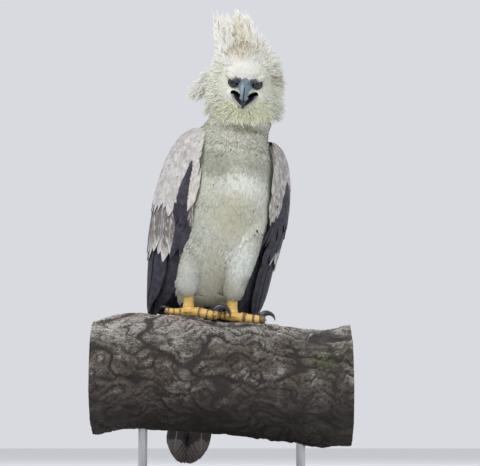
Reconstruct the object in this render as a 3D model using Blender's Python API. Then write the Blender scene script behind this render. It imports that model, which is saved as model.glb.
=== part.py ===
"""A young harpy eagle perched on a cut length of limb, held over a flat base by two rods.

Sizes are in metres. The datum is the top of the limb below the bird, which an empty lifts to
its height over the floor. The bird faces -Y, and +X is its left side. Forms of the trunk and
the wings are given in the trunk's own frame, which leans and turns a little in the world.
"""

import math

import bmesh
import bpy
from mathutils import Matrix, Quaternion, Vector

# Stand and limb
PERCH_HEIGHT = 0.420
BASE_SIZE = (0.54, 0.46, 0.030)
BASE_MIDDLE = (0.0, 0.035)
BASE_BEVEL = 0.004
ROD_RADIUS = 0.011
ROD_PLACES = (-0.19, 0.19)
LIMB_ENDS = (-0.31, 0.31)
LIMB_SIDES = 24
LIMB_RINGS = 18
GAP = 0.0004

# Trunk: where it stands, how it leans to its left and how far its breast turns to its left
TRUNK_FOOT = (-0.046, 0.0, 0.0)
TRUNK_LEAN = math.radians(9.4)
TRUNK_TURN = math.radians(10.0)
TRUNK_SIDES = 22
TORSO_RINGS = 11
HEAD_RINGS = 10
TORSO_ENDS = (0.010, 0.452)
NECK_TOP = 0.507
CROWN_TOP = 0.663

# Head
HEAD_MIDDLE = (0.058, 0.004, 0.575)
HEAD_TILT = math.radians(5.5)
FACE_DIP = math.radians(15.0)
EYE_PLACE = (0.0285, -0.0535, 0.004)
EYE_RADIUS = 0.0130
LID_THICKNESS = 0.0032

# Feathers
VANE_THICKNESS = 0.0011
LAYER_STEP = 0.0015
VANE_STEP = 0.1118
VANE_LIFT = 0.0024
# Rows of (share of the length, share of the width) along a long and a short vane
LONG_VANE = ((0.0, 0.50), (0.24, 0.80), (0.60, 1.0), (0.90, 0.80), (1.0, 0.25))
SHORT_VANE = ((0.0, 0.60), (0.30, 0.90), (0.82, 1.0), (1.0, 0.30))
PRIMARY_WIDTHS = (0.5, 0.8, 1.0, 1.0, 0.85, 0.25)
TAIL_VANE = ((0.0, 0.45), (0.30, 0.82), (0.80, 1.0), (0.955, 0.74), (1.0, 0.28))

# Feet
CLAW_RADIUS = 0.0070

# Colours, as red, green and blue
PALE_DOWN = (0.80, 0.79, 0.72)
PALE_BODY = (0.74, 0.73, 0.64)
PALE_GREY = (0.58, 0.56, 0.56)
SLATE = (0.05, 0.05, 0.07)
TAIL_BROWN = (0.22, 0.17, 0.15)
BILL_BLUE = (0.10, 0.14, 0.18)
EYE_DARK = (0.01, 0.012, 0.016)
FOOT_YELLOW = (0.72, 0.47, 0.12)
CLAW_BLACK = (0.02, 0.02, 0.025)
BARK = (0.20, 0.16, 0.13)
STAND_BLACK = (0.03, 0.03, 0.03)
STEEL = (0.55, 0.56, 0.58)

# Rows of (height, middle's depth, half width, depth in front, depth behind) along the trunk
TRUNK_FORM = (
    (0.010, 0.086, 0.030, 0.032, 0.030),
    (0.030, 0.080, 0.056, 0.058, 0.046),
    (0.070, 0.066, 0.085, 0.086, 0.068),
    (0.120, 0.054, 0.106, 0.102, 0.086),
    (0.180, 0.043, 0.121, 0.114, 0.097),
    (0.240, 0.035, 0.128, 0.121, 0.102),
    (0.300, 0.029, 0.129, 0.121, 0.103),
    (0.360, 0.024, 0.121, 0.110, 0.099),
    (0.410, 0.019, 0.106, 0.093, 0.089),
    (0.450, 0.013, 0.087, 0.076, 0.076),
    (0.478, 0.009, 0.077, 0.066, 0.068),
    (0.507, 0.006, 0.075, 0.063, 0.067),
    (0.535, 0.003, 0.078, 0.062, 0.072),
    (0.565, 0.002, 0.079, 0.061, 0.077),
    (0.597, 0.002, 0.073, 0.057, 0.077),
    (0.622, 0.004, 0.062, 0.049, 0.070),
    (0.643, 0.006, 0.046, 0.036, 0.055),
    (0.656, 0.008, 0.028, 0.022, 0.034),
    (0.663, 0.010, 0.010, 0.008, 0.012),
)

# Rows of (height, half width, depth in front, depth behind, middle's depth) of the folded wings
WING_FORM = (
    (-0.110, 0.088, 0.030, 0.022, 0.186),
    (-0.050, 0.112, 0.045, 0.034, 0.158),
    (0.000, 0.132, 0.058, 0.058, 0.120),
    (0.060, 0.147, 0.075, 0.082, 0.086),
    (0.120, 0.157, 0.088, 0.101, 0.068),
    (0.180, 0.163, 0.096, 0.113, 0.053),
    (0.240, 0.165, 0.106, 0.118, 0.041),
    (0.300, 0.162, 0.114, 0.119, 0.032),
    (0.350, 0.155, 0.110, 0.116, 0.026),
    (0.390, 0.145, 0.098, 0.105, 0.021),
    (0.420, 0.132, 0.083, 0.090, 0.017),
    (0.440, 0.117, 0.068, 0.074, 0.014),
    (0.452, 0.101, 0.050, 0.056, 0.012),
)
# Rows of (height, angle of the leading edge, angle of the hind edge), from the side, in degrees
WING_EDGES = (
    (-0.110, 34.0, 76.0),
    (-0.050, 18.0, 80.0),
    (0.000, -4.0, 82.0),
    (0.060, -30.0, 83.0),
    (0.120, -48.0, 84.0),
    (0.180, -56.0, 84.0),
    (0.240, -59.0, 84.0),
    (0.300, -59.0, 83.0),
    (0.350, -58.0, 82.0),
    (0.390, -57.0, 79.0),
    (0.420, -54.0, 75.0),
    (0.440, -48.0, 66.0),
    (0.452, -38.0, 52.0),
)
# How far each wing's leading edge lies back of that
WING_BACK = {-1: 0.0, 1: 14.0}
# How far each wing's shoulder stands out past that form
WING_SWELL = {-1: 0.0, 1: 0.011}

# Rows of (share of the way from right to left, place across, height) of the crest's tips
CREST_TIPS = (
    (0.00, -0.112, 0.206),
    (0.14, -0.085, 0.198),
    (0.29, -0.060, 0.194),
    (0.43, -0.038, 0.210),
    (0.57, -0.019, 0.214),
    (0.71, 0.001, 0.190),
    (0.86, 0.022, 0.154),
    (1.00, 0.038, 0.112),
)
# Rows of (depth, height, share of the full length, how far the tips lean back) of the crest
CREST_ROWS = (
    (-0.004, 0.070, 0.84, -0.010),
    (0.022, 0.066, 1.0, 0.022),
    (0.046, 0.053, 0.92, 0.058),
)
# Rows of (height, how far the arm lies inside the wing's outer form)
ARM_INSETS = (
    (0.135, 0.0240),
    (0.180, 0.0210),
    (0.235, 0.0140),
    (0.285, 0.0092),
    (0.335, 0.0055),
    (0.452, 0.0045),
)


def between(rows, at):
    """The values at one place, on a smooth curve through rows of (place, value, ...)."""
    if at <= rows[0][0]:
        return rows[0][1:]
    if at >= rows[-1][0]:
        return rows[-1][1:]
    low = max(i for i in range(len(rows) - 1) if rows[i][0] <= at)
    first, last = rows[low], rows[low + 1]
    before, after = rows[max(low - 1, 0)], rows[min(low + 2, len(rows) - 1)]
    span = last[0] - first[0]
    s = (at - first[0]) / span
    values = []
    for k in range(1, len(first)):
        leaving = span * (last[k] - before[k]) / (last[0] - before[0])
        arriving = span * (after[k] - first[k]) / (after[0] - first[0])
        rise = last[k] - first[k]
        values.append(
            first[k]
            + leaving * s
            + (3 * rise - 2 * leaving - arriving) * s * s
            + (leaving + arriving - 2 * rise) * s**3
        )
    return tuple(values)


def spread(count, low, high):
    """A number of evenly spaced values from low to high, both included."""
    return [low + (high - low) * i / (count - 1) for i in range(count)]


def eased(low, high, at):
    """0 below low, 1 above high, and a smooth step between them."""
    s = min(max((at - low) / (high - low), 0.0), 1.0)
    return s * s * (3 - 2 * s)


TRUNK = (
    Matrix.Translation(TRUNK_FOOT)
    @ Matrix.Rotation(TRUNK_LEAN, 4, "Y")
    @ Matrix.Rotation(TRUNK_TURN, 4, "Z")
)
HEAD = Matrix.Translation(HEAD_MIDDLE) @ Matrix.Rotation(HEAD_TILT, 4, "Y")
FACE = HEAD @ Matrix.Rotation(FACE_DIP, 4, "X")


# Meshes and Booleans


def material(name, colour, roughness=0.7, metallic=0.0):
    """A Principled material of one colour, made once for each name."""
    found = bpy.data.materials.get(name)
    if found:
        return found
    made = bpy.data.materials.new(name)
    made.use_nodes = True
    shader = made.node_tree.nodes["Principled BSDF"]
    shader.inputs["Base Color"].default_value = (*colour, 1.0)
    shader.inputs["Roughness"].default_value = roughness
    shader.inputs["Metallic"].default_value = metallic
    return made


def closed_object(name, points, faces):
    """An object of these points and faces, with its faces turned outwards."""
    mesh = bpy.data.meshes.new(name)
    mesh.from_pydata([tuple(p) for p in points], [], faces)
    shape = bmesh.new()
    shape.from_mesh(mesh)
    bmesh.ops.recalc_face_normals(shape, faces=shape.faces)
    if shape.calc_volume(signed=True) < 0:
        bmesh.ops.reverse_faces(shape, faces=shape.faces)
    shape.to_mesh(mesh)
    shape.free()
    made = bpy.data.objects.new(name, mesh)
    bpy.context.scene.collection.objects.link(made)
    return made


def tube(name, rings):
    """A closed object through rings of points, each end closed by a fan round its middle."""
    sides = len(rings[0])
    points = [p for ring in rings for p in ring]
    faces = []
    for r in range(len(rings) - 1):
        for i in range(sides):
            a, b = r * sides + i, r * sides + (i + 1) % sides
            c, d = b + sides, a + sides
            faces += [(a, b, c), (a, c, d)]
    for r in (0, len(rings) - 1):
        middle = len(points)
        points.append(sum((Vector(p) for p in rings[r]), Vector()) / sides)
        faces += [
            (r * sides + i, r * sides + (i + 1) % sides, middle) for i in range(sides)
        ]
    return closed_object(name, points, faces)


def plate(name, top, under):
    """A closed object between two grids of points, split into triangles alike on both."""
    rows, columns = len(top), len(top[0])
    points = [p for row in (*top, *under) for p in row]
    lower = rows * columns
    faces = []
    for r in range(rows - 1):
        for c in range(columns - 1):
            a = r * columns + c
            b, d = a + 1, a + columns
            e = d + 1
            faces += [(a, b, e), (a, e, d)]
            faces += [(a + lower, e + lower, b + lower), (a + lower, d + lower, e + lower)]
    rim = [(0, c) for c in range(columns)]
    rim += [(r, columns - 1) for r in range(1, rows)]
    rim += [(rows - 1, c) for c in range(columns - 2, -1, -1)]
    rim += [(r, 0) for r in range(rows - 2, 0, -1)]
    for (r, c), (s, d) in zip(rim, rim[1:] + rim[:1]):
        a, b = r * columns + c, s * columns + d
        faces += [(a, a + lower, b + lower), (a, b + lower, b)]
    return closed_object(name, points, faces)


def strip_vane(name, middles, sideways, normals, widths, thickness=VANE_THICKNESS):
    """A flat feather along middles, as wide as widths say, its faces square to the normals."""
    top, under = [], []
    for middle, side, normal, width in zip(middles, sideways, normals, widths):
        half, lift = side.normalized() * width / 2, normal.normalized() * thickness / 2
        top.append([middle - half + lift, middle + half + lift])
        under.append([middle - half - lift, middle + half - lift])
    return plate(name, top, under)


def ellipsoid(name, frame, radii, sides=16, rings=9):
    """A closed ellipsoid, its three radii along the frame's axes."""
    loops = []
    for tilt in spread(rings, -88, 88):
        low = math.radians(tilt)
        loops.append(
            [
                frame
                @ Vector(
                    (
                        radii[0] * math.cos(low) * math.cos(turn * 2 * math.pi / sides),
                        radii[1] * math.cos(low) * math.sin(turn * 2 * math.pi / sides),
                        radii[2] * math.sin(low),
                    )
                )
                for turn in range(sides)
            ]
        )
    return tube(name, loops)


def evaluated(thing):
    """Gives an object its evaluated mesh, and drops its modifiers."""
    graph = bpy.context.evaluated_depsgraph_get()
    mesh = bpy.data.meshes.new_from_object(thing.evaluated_get(graph))
    thing.modifiers.clear()
    thing.data = mesh


def keep_largest(thing):
    """Keeps the largest closed surface of a mesh, and drops scraps and sealed hollows."""
    shape = bmesh.new()
    shape.from_mesh(thing.data)
    shape.faces.ensure_lookup_table()
    unseen, islands = set(shape.faces), []
    while unseen:
        island, edge = set(), [next(iter(unseen))]
        while edge:
            face = edge.pop()
            if face in unseen:
                unseen.discard(face)
                island.add(face)
                pairs = [e.link_faces for e in face.edges if len(e.link_faces) == 2]
                edge += [f for pair in pairs for f in pair if f in unseen]
        islands.append(island)

    def volume(island):
        return sum(
            f.verts[0].co.dot(f.verts[i].co.cross(f.verts[i + 1].co))
            for f in island
            for i in range(1, len(f.verts) - 1)
        )

    largest = max(islands, key=volume)
    loose = [f for f in shape.faces if f not in largest]
    bmesh.ops.delete(shape, geom=loose, context="FACES")
    bmesh.ops.triangulate(shape, faces=shape.faces)
    shape.to_mesh(thing.data)
    shape.free()


def combine(body, others, operation, solver="MANIFOLD"):
    """Joins the others to the body, or cuts them from it, and removes them."""
    if not others:
        return body
    group = bpy.data.collections.new("others")
    bpy.context.scene.collection.children.link(group)
    for other in others:
        bpy.context.scene.collection.objects.unlink(other)
        group.objects.link(other)
    change = body.modifiers.new(operation, "BOOLEAN")
    change.operation = operation
    change.operand_type = "COLLECTION"
    change.collection = group
    change.solver = solver
    evaluated(body)
    for other in others:
        bpy.data.objects.remove(other)
    bpy.data.collections.remove(group)
    keep_largest(body)
    return body


def finished(thing, name, colour, roughness=0.7, metallic=0.0, smooth=True):
    """Names a node, gives it its material and hangs it on the datum."""
    thing.name = name
    thing.data.name = name
    thing.data.materials.clear()
    thing.data.materials.append(material(name, colour, roughness, metallic))
    if smooth:
        thing.data.shade_smooth()
        thing.data.set_sharp_from_angle(angle=math.radians(40))
    thing.parent = bpy.data.objects["perch_datum"]
    return thing


# Trunk, neck and head


def spine_frame(height):
    """The frame of the body's cross-section at a height along its spine."""
    share = eased(0.44, 0.51, height)
    _, turn, _ = TRUNK.decompose()
    _, tilt, _ = HEAD.decompose()
    low = TRUNK @ Vector((0, 0, height))
    high = HEAD @ Vector((0, 0, height - HEAD_MIDDLE[2]))
    rotation = Quaternion(turn).slerp(tilt, share)
    return Matrix.Translation(low.lerp(high, share)) @ rotation.to_matrix().to_4x4()


def body_ring(height, grow=0.0, sides=TRUNK_SIDES):
    """One cross-section of the body, from the middle of its front round to its left."""
    middle, half, front, behind = between(TRUNK_FORM, height)
    frame = spine_frame(height)
    ring = []
    for i in range(sides):
        turn = 2 * math.pi * i / sides
        across, along = math.sin(turn), -math.cos(turn)
        depth = (front if along < 0 else behind) + grow
        boxy = (abs(across) ** 2.25 + abs(along) ** 2.25) ** (-1 / 2.25)
        ring.append(
            frame
            @ Vector((across * boxy * (half + grow), middle + along * boxy * depth, 0))
        )
    return ring


def body_length(name, low, high, count, grow=0.0):
    """A closed length of the body between two heights."""
    return tube(name, [body_ring(h, grow) for h in spread(count, low, high)])


def torso():
    """The breast, belly and back, as one closed length."""
    return body_length("torso", *TORSO_ENDS, TORSO_RINGS)


def grown_torso():
    """A cutter that leaves a gap round the torso."""
    return body_length("torso", *TORSO_ENDS, TORSO_RINGS, GAP)


def neck():
    """The neck, from just over the torso to just under the head."""
    return body_length("neck", TORSO_ENDS[1] + GAP, NECK_TOP, 5)


def face_frame(side, turn_out=0.0):
    """A frame at one eye, its Y axis looking in at the head."""
    across, front, up = EYE_PLACE
    place = Matrix.Translation((side * across, front, up))
    return FACE @ place @ Matrix.Rotation(side * math.radians(turn_out), 4, "Z")


def lid(side, grow=0.0):
    """The thick rim of skin round one eye, slanting down towards the bill."""
    frame = face_frame(side, 26) @ Matrix.Rotation(side * math.radians(-14), 4, "Y")
    rings = []
    for i in range(10):
        turn = 2 * math.pi * i / 10
        middle = Vector((0.0120 * math.cos(turn), -0.0070, 0.0092 * math.sin(turn)))
        out = Vector((math.cos(turn), 0, math.sin(turn)))
        thick = LID_THICKNESS + grow
        rings.append(
            [
                frame
                @ (
                    middle
                    + out * thick * math.cos(k * 2 * math.pi / 5)
                    + Vector((0, -1, 0)) * 1.6 * thick * math.sin(k * 2 * math.pi / 5)
                )
                for k in range(5)
            ]
        )
    return ring_of("lid", rings)


def ring_of(name, rings):
    """A closed object through rings of points that follow one another round a loop."""
    sides, count = len(rings[0]), len(rings)
    faces = []
    for r in range(count):
        for i in range(sides):
            a, b = r * sides + i, r * sides + (i + 1) % sides
            c, d = ((r + 1) % count) * sides + (i + 1) % sides, ((r + 1) % count) * sides + i
            faces += [(a, b, c), (a, c, d)]
    return closed_object(name, [p for ring in rings for p in ring], faces)


def bent_tube(name, path, sides=8, start=(1, 0, 0)):
    """A closed tube on rows of (place, half width, half height), flat ways along start."""
    rings = []
    for i, (place, wide, high) in enumerate(path):
        ahead = Vector(path[min(i + 1, len(path) - 1)][0]) - Vector(path[max(i - 1, 0)][0])
        side = Vector(start) - ahead * Vector(start).dot(ahead) / ahead.length_squared
        side.normalize()
        up = side.cross(ahead).normalized()
        rings.append(
            [
                Vector(place)
                + side * wide * math.cos(2 * math.pi * k / sides)
                + up * high * math.sin(2 * math.pi * k / sides)
                for k in range(sides)
            ]
        )
    return tube(name, rings)


def brow(side, grow=0.0):
    """The ridge over one eye, which slants down to the bill."""
    places = [
        (0.010, -0.058, 0.013, 0.0045),
        (0.022, -0.064, 0.016, 0.0060),
        (0.035, -0.059, 0.021, 0.0060),
        (0.048, -0.043, 0.024, 0.0045),
    ]
    return bent_tube(
        "brow",
        [
            (FACE @ Vector((side * x, y, z)), r + grow, 0.8 * r + grow)
            for x, y, z, r in places
        ],
        sides=8,
        start=(0, 0, 1),
    )


def skull_point(height, turn, out=0.0):
    """A place on the head or neck, at a height and an angle round from the front."""
    ring = body_ring(height, out, 72)
    place = turn / (2 * math.pi) * 72
    low = math.floor(place)
    return ring[low % 72].lerp(ring[(low + 1) % 72], place - low)


def ruff_vane(angle, lift):
    """One flat feather of the ruff at an angle round the face, 0 straight down."""
    side, down = math.sin(angle), math.cos(angle)
    middles, normals = [], []
    for s, out in ((0.0, -0.006), (0.45, 0.004 + lift), (1.0, 0.006 + lift)):
        turn = math.radians(44 + 50 * s) * side * (1.0 + 0.12 * abs(down))
        height = 0.566 - (0.046 + 0.042 * s) * down
        middles.append(skull_point(height, turn, out))
        normals.append(skull_point(height, turn, out + 0.01) - middles[-1])
    run = middles[2] - middles[0]
    sideways = [normal.cross(run) for normal in normals]
    return strip_vane("ruff", middles, sideways, normals, [0.016, 0.022, 0.007], 0.0014)


def plume(rise, reach):
    """A loose feather that stands out from the nape, over the bird's right shoulder."""
    middles = []
    for s in (0.0, 0.35, 0.75, 1.0):
        across = -0.066 - reach * s
        middles.append(HEAD @ Vector((across, 0.030 + 0.010 * s, rise - 0.034 * s * s)))
    sideways = [HEAD.to_3x3() @ Vector((0.25, 0, 1))] * 4
    normals = [HEAD.to_3x3() @ Vector((0, -1, 0.1))] * 4
    return strip_vane("plume", middles, sideways, normals, [0.012, 0.022, 0.020, 0.005], 0.0014)


def head_form(grow=0.0):
    """The head with its brows and lids."""
    skull = body_length("head", NECK_TOP + GAP - grow, CROWN_TOP, HEAD_RINGS, grow)
    parts = [brow(side, grow) for side in (-1, 1)] + [lid(side, grow) for side in (-1, 1)]
    return combine(skull, parts, "UNION")


def head():
    """The head with its ruff, and the hollow behind the open bill."""
    skull = head_form()
    angles = spread(15, -126, 126)
    parts = [ruff_vane(math.radians(a), 0.0022 * (i % 2)) for i, a in enumerate(angles)]
    parts += [plume(0.004, 0.084), plume(0.034, 0.055)]
    combine(skull, parts, "UNION")
    return combine(skull, [gullet()], "DIFFERENCE")


def eye(side, grow=0.0):
    """One eyeball, most of it inside the lids."""
    radius = EYE_RADIUS + grow
    return ellipsoid("eye", face_frame(side), (radius,) * 3, 12, 7)


# Rows of (place forward, place up, half width, half height) along each half of the bill
UPPER_BILL = (
    (0.046, 0.001, 0.0130, 0.0165),
    (0.057, 0.001, 0.0150, 0.0178),
    (0.068, -0.000, 0.0172, 0.0180),
    (0.078, -0.003, 0.0152, 0.0170),
    (0.088, -0.009, 0.0125, 0.0155),
    (0.0965, -0.020, 0.0098, 0.0122),
    (0.1010, -0.032, 0.0070, 0.0090),
    (0.1010, -0.044, 0.0046, 0.0058),
    (0.0975, -0.0555, 0.0013, 0.0013),
)
LOWER_BILL = (
    (0.030, -0.0270, 0.0220, 0.0050),
    (0.050, -0.0305, 0.0200, 0.0055),
    (0.064, -0.0345, 0.0150, 0.0055),
    (0.076, -0.0385, 0.0105, 0.0050),
    (0.085, -0.0420, 0.0060, 0.0035),
    (0.0895, -0.0435, 0.0020, 0.0012),
)


def bill_length(name, form, sides, grow):
    """One half of the bill, its sides drawn in to a rounded keel on top."""
    rings = []
    for i, (forward, up, wide, high) in enumerate(form):
        here = Vector((0, -forward, up))
        ahead = Vector((0, -form[min(i + 1, len(form) - 1)][0], form[min(i + 1, len(form) - 1)][1]))
        last = Vector((0, -form[max(i - 1, 0)][0], form[max(i - 1, 0)][1]))
        run = (ahead - last).normalized()
        rise = run.cross(Vector((1, 0, 0))).normalized()
        if rise.z < 0:
            rise = -rise
        ring = []
        for k in range(sides):
            turn = 2 * math.pi * k / sides
            across, along = math.cos(turn), math.sin(turn)
            pinch = 1.0 - 0.28 * max(along, 0.0)
            ring.append(
                FACE
                @ (
                    here
                    + Vector((1, 0, 0)) * across * pinch * (wide + grow)
                    + rise * along * (high + grow)
                )
            )
        rings.append(ring)
    return tube(name, rings)


def upper_bill(grow=0.0):
    """The cere and the hooked upper half of the bill."""
    return bill_length("bill_upper", UPPER_BILL, 12, grow)


def lower_bill(grow=0.0):
    """The lower half of the bill, a little open."""
    return bill_length("bill_lower", LOWER_BILL, 10, grow)


def gullet():
    """The space behind the open bill."""
    frame = FACE @ Matrix.Translation((0, -0.052, -0.0215))
    return ellipsoid("gullet", frame, (0.024, 0.026, 0.006), 10, 5)


def nostrils():
    """Two slots in the sides of the cere."""
    made = []
    for side in (-1, 1):
        frame = FACE @ Matrix.Translation((side * 0.0165, -0.068, 0.003))
        frame = frame @ Matrix.Rotation(math.radians(25), 4, "X")
        made.append(ellipsoid("nostril", frame, (0.004, 0.0022, 0.0046), 6, 4))
    return made


# Crest


def crest_vane(root, tip, back, width):
    """One crest feather between a root and a tip, given across and up, leaning back."""
    middles, sideways, normals = [], [], []
    lean = math.atan2(tip[0] - root[0], tip[2] - root[2])
    for s in (0.0, 0.40, 0.82, 1.0):
        across = root[0] + (tip[0] - root[0]) * s
        depth = root[1] + (tip[1] - root[1]) * s + 0.010 * s * s
        up = root[2] + (tip[2] - root[2]) * s
        middles.append(HEAD @ Vector((across, depth, up)))
        sideways.append(HEAD.to_3x3() @ Vector((math.cos(lean), 0, -math.sin(lean))))
        normals.append(HEAD.to_3x3() @ Vector((0, -math.cos(back), math.sin(back))))
    widths = [width * full for full in (0.55, 1.0, 0.90, 0.25)]
    return strip_vane("crest", middles, sideways, normals, widths, 0.0015)


def crest():
    """The erect crest, feather by feather in three rows, on a low pad over the crown."""
    pad = ellipsoid(
        "crest", HEAD @ Matrix.Translation((-0.004, 0.024, 0.062)), (0.054, 0.044, 0.028), 12, 7
    )
    vanes = []
    for row, (front, height, shorter, lean) in enumerate(CREST_ROWS):
        for i in range(len(CREST_TIPS) - row % 2):
            share = (i + 0.5 * (row % 2)) / (len(CREST_TIPS) - 1)
            tip_across, tip_up = between(CREST_TIPS, share)
            across = -0.040 + 0.080 * share
            root = (across, front + 0.0022 * (i % 2), height - 6.0 * across * across)
            reach = shorter * (0.95 + 0.05 * math.cos(2.6 * i + row))
            tip = (
                root[0] + (tip_across - root[0]) * reach,
                front + lean + 0.0022 * (i % 2),
                root[2] + (tip_up - root[2]) * reach,
            )
            back = math.atan2(lean, tip[2] - root[2])
            vanes.append(crest_vane(root, tip, back, 0.022))
    return combine(pad, vanes, "UNION")


# Wings


def wing_point(side, turn, height, out=0.0):
    """A place on the folded wings' outer form, at an angle from the side and a height."""
    half, front, behind, middle = between(WING_FORM, height)
    half += WING_SWELL[side] * eased(0.12, 0.24, height)
    depth = behind if turn > 0 else front
    across, along = math.cos(turn), math.sin(turn)
    place = Vector((side * half * across, middle + depth * along, height))
    normal = Vector((side * across / half, along / depth, 0)).normalized()
    return TRUNK @ (place + normal * out)


def wing_span(side, height):
    """The angles of the wing's leading and hind edge at a height."""
    low, high = between(WING_EDGES, height)
    return math.radians(low + WING_BACK[side]), math.radians(high)


def wing_turn(side, share, height):
    """The angle at a share of the way from the wing's leading edge to its hind edge."""
    low, high = wing_span(side, height)
    return low + share * (high - low)


def arc_speed(turn, height):
    """How far the outer form runs for each radian, at an angle and a height."""
    half, front, behind, _ = between(WING_FORM, height)
    depth = behind if turn > 0 else front
    return math.hypot(half * math.sin(turn), depth * math.cos(turn))


def wing_arm(side):
    """The solid of the folded arm and its small feathers, which thins towards its lower edge."""
    outer, inner = [], []
    for height in (0.137, 0.172, 0.225, 0.290, 0.350, 0.405, 0.447):
        (inset,) = between(ARM_INSETS, height)
        thick = 0.004 + 0.050 * eased(0.12, 0.21, height)
        outer_row, inner_row = [], []
        for share in (0.02, 0.10, 0.28, 0.50, 0.72, 0.90, 0.985):
            turn = wing_turn(side, share, height)
            edge = min(share / 0.10, (1 - share) / 0.06, 1.0)
            rounding = (1 - math.sqrt(max(1 - (1 - edge) ** 2, 0))) * min(thick * 0.45, 0.010)
            outer_row.append(wing_point(side, turn, height, -inset - rounding))
            inner_row.append(wing_point(side, turn, height, -inset - thick + rounding * 0.4))
        outer.append(outer_row)
        inner.append(inner_row)
    return plate("wing", outer, inner)


def wing_vane(side, share, root, tip, width, out, rows, step=VANE_STEP, drift=0.0, sink=0.010):
    """A feather of one tier down the wing's outer form, each lifted over the one before."""
    top, under = [], []
    for s, full in rows:
        height = root + (tip - root) * s
        turn = wing_turn(side, share + drift * (root - height), height)
        low, high = wing_span(side, height)
        speed = arc_speed(turn, height)
        spacing = step * (high - low) * speed
        half = min(width / 2, 0.80 * spacing) * full
        level = out - sink * (1 - eased(0.0, 0.24, s))
        top.append([])
        under.append([])
        for edge in (-1, 0, 1):
            place = turn + edge * half / speed
            raised = level - edge * half / spacing * VANE_LIFT
            top[-1].append(wing_point(side, place, height, raised + VANE_THICKNESS / 2))
            under[-1].append(wing_point(side, place, height, raised - VANE_THICKNESS / 2))
    return plate("vane", top, under)


def wing(side):
    """A folded wing: its arm, and its flight feathers and coverts as vanes in tiers."""
    arm = wing_arm(side)
    vanes = []
    for i in range(4):
        share, tip, level = 0.05 + 0.05 * i, -0.105 + 0.024 * i, -0.0225 + 0.0024 * i
        heights = (0.230, 0.150, 0.065, -0.005, tip + 0.020, tip)
        rows = [((0.230 - h) / (0.230 - tip), w) for h, w in zip(heights, PRIMARY_WIDTHS)]
        vanes.append(wing_vane(side, share, 0.230, tip, 0.036, level, rows, 0.17, 0.75, 0.006))
    for i in range(9):
        share = 0.042 + VANE_STEP * i
        tip = 0.230 + 0.008 * math.cos(1.9 * i)
        vanes.append(wing_vane(side, share, 0.345, tip, 0.052, 0.0005, SHORT_VANE))
        tip = 0.126 + 0.010 * math.cos(1.3 * i)
        vanes.append(wing_vane(side, share, 0.285, tip, 0.052, -0.0035, SHORT_VANE))
        if i > 1:
            tip = -0.014 + 0.020 * math.sin(math.pi * (i - 2) / 6) + 0.002 * i
            vanes.append(wing_vane(side, share, 0.235, tip, 0.054, -0.0078, LONG_VANE))
    combine(arm, vanes, "UNION")
    cutters = [grown_torso()]
    cutters += [leg_feathers(other, GAP) for other in (-1, 1)]
    return combine(arm, cutters, "DIFFERENCE")


# Tail

TAIL_ROOT = (-0.056, 0.115, 0.048)
TAIL_TIP = (-0.093, 0.236, -0.362)
TAIL_WIDTH = 0.118


def tail_frame():
    """The tail's frame: X across it, Y away from its back, Z from its tip to its root."""
    along = (Vector(TAIL_ROOT) - Vector(TAIL_TIP)).normalized()
    across = Vector((math.cos(TRUNK_TURN), math.sin(TRUNK_TURN), 0))
    across = (across - along * across.dot(along)).normalized()
    back = along.cross(across)
    turn = Matrix((across, back, along)).transposed().to_4x4()
    return Matrix.Translation(TAIL_ROOT) @ turn


def tail_vane(frame, place, level, length, width, form, start=0.02):
    """One tail feather, fanned out a little from the root."""
    middles, sideways, normals, widths = [], [], [], []
    for s, full in form:
        down = start - s * (length + start)
        aside = place * (0.35 + 0.65 * s)
        middles.append(frame @ Vector((aside, level + 0.006 * s * s, down)))
        sideways.append(frame.to_3x3() @ Vector((1, 0, 0)))
        normals.append(frame.to_3x3() @ Vector((0, 1, 0)))
        widths.append(width * full)
    return strip_vane("rectrix", middles, sideways, normals, widths)


def tail(wings_and_torso):
    """The tail: its rump and coverts, and twelve feathers stacked from the middle outwards."""
    frame = tail_frame()
    rump = []
    for down, wide, thick, level in (
        (0.035, 0.030, 0.020, 0.000),
        (0.010, 0.041, 0.024, 0.001),
        (-0.030, 0.043, 0.022, 0.001),
        (-0.070, 0.040, 0.016, 0.002),
        (-0.100, 0.034, 0.011, 0.003),
        (-0.125, 0.024, 0.0075, 0.003),
    ):
        rump.append(
            [
                frame
                @ Vector(
                    (
                        wide * math.cos(2 * math.pi * k / 10),
                        level + thick * math.sin(2 * math.pi * k / 10),
                        down,
                    )
                )
                for k in range(10)
            ]
        )
    body = tube("tail", rump)
    vanes = []
    length = (Vector(TAIL_ROOT) - Vector(TAIL_TIP)).length
    for i in range(6):
        for half, side in enumerate((-1, 1)):
            place = side * (0.006 + i * 0.0058)
            level = 0.0075 - (2 * i + half) * LAYER_STEP * 0.95
            vanes.append(
                tail_vane(frame, place, level, length * (1 - 0.012 * i * i / 5), 0.050, TAIL_VANE)
            )
    for level, reach, rise in ((0.0150, 0.150, 0.0021), (-0.0125, 0.130, -0.0019)):
        for place, order in ((-0.020, 0), (0.020, 1), (-0.007, 2), (0.007, 3)):
            lift = level + rise * order
            vanes.append(tail_vane(frame, place, lift, reach, 0.034, SHORT_VANE))
    combine(body, vanes, "UNION")
    return combine(body, wings_and_torso, "DIFFERENCE")


# Legs and feet

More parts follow.
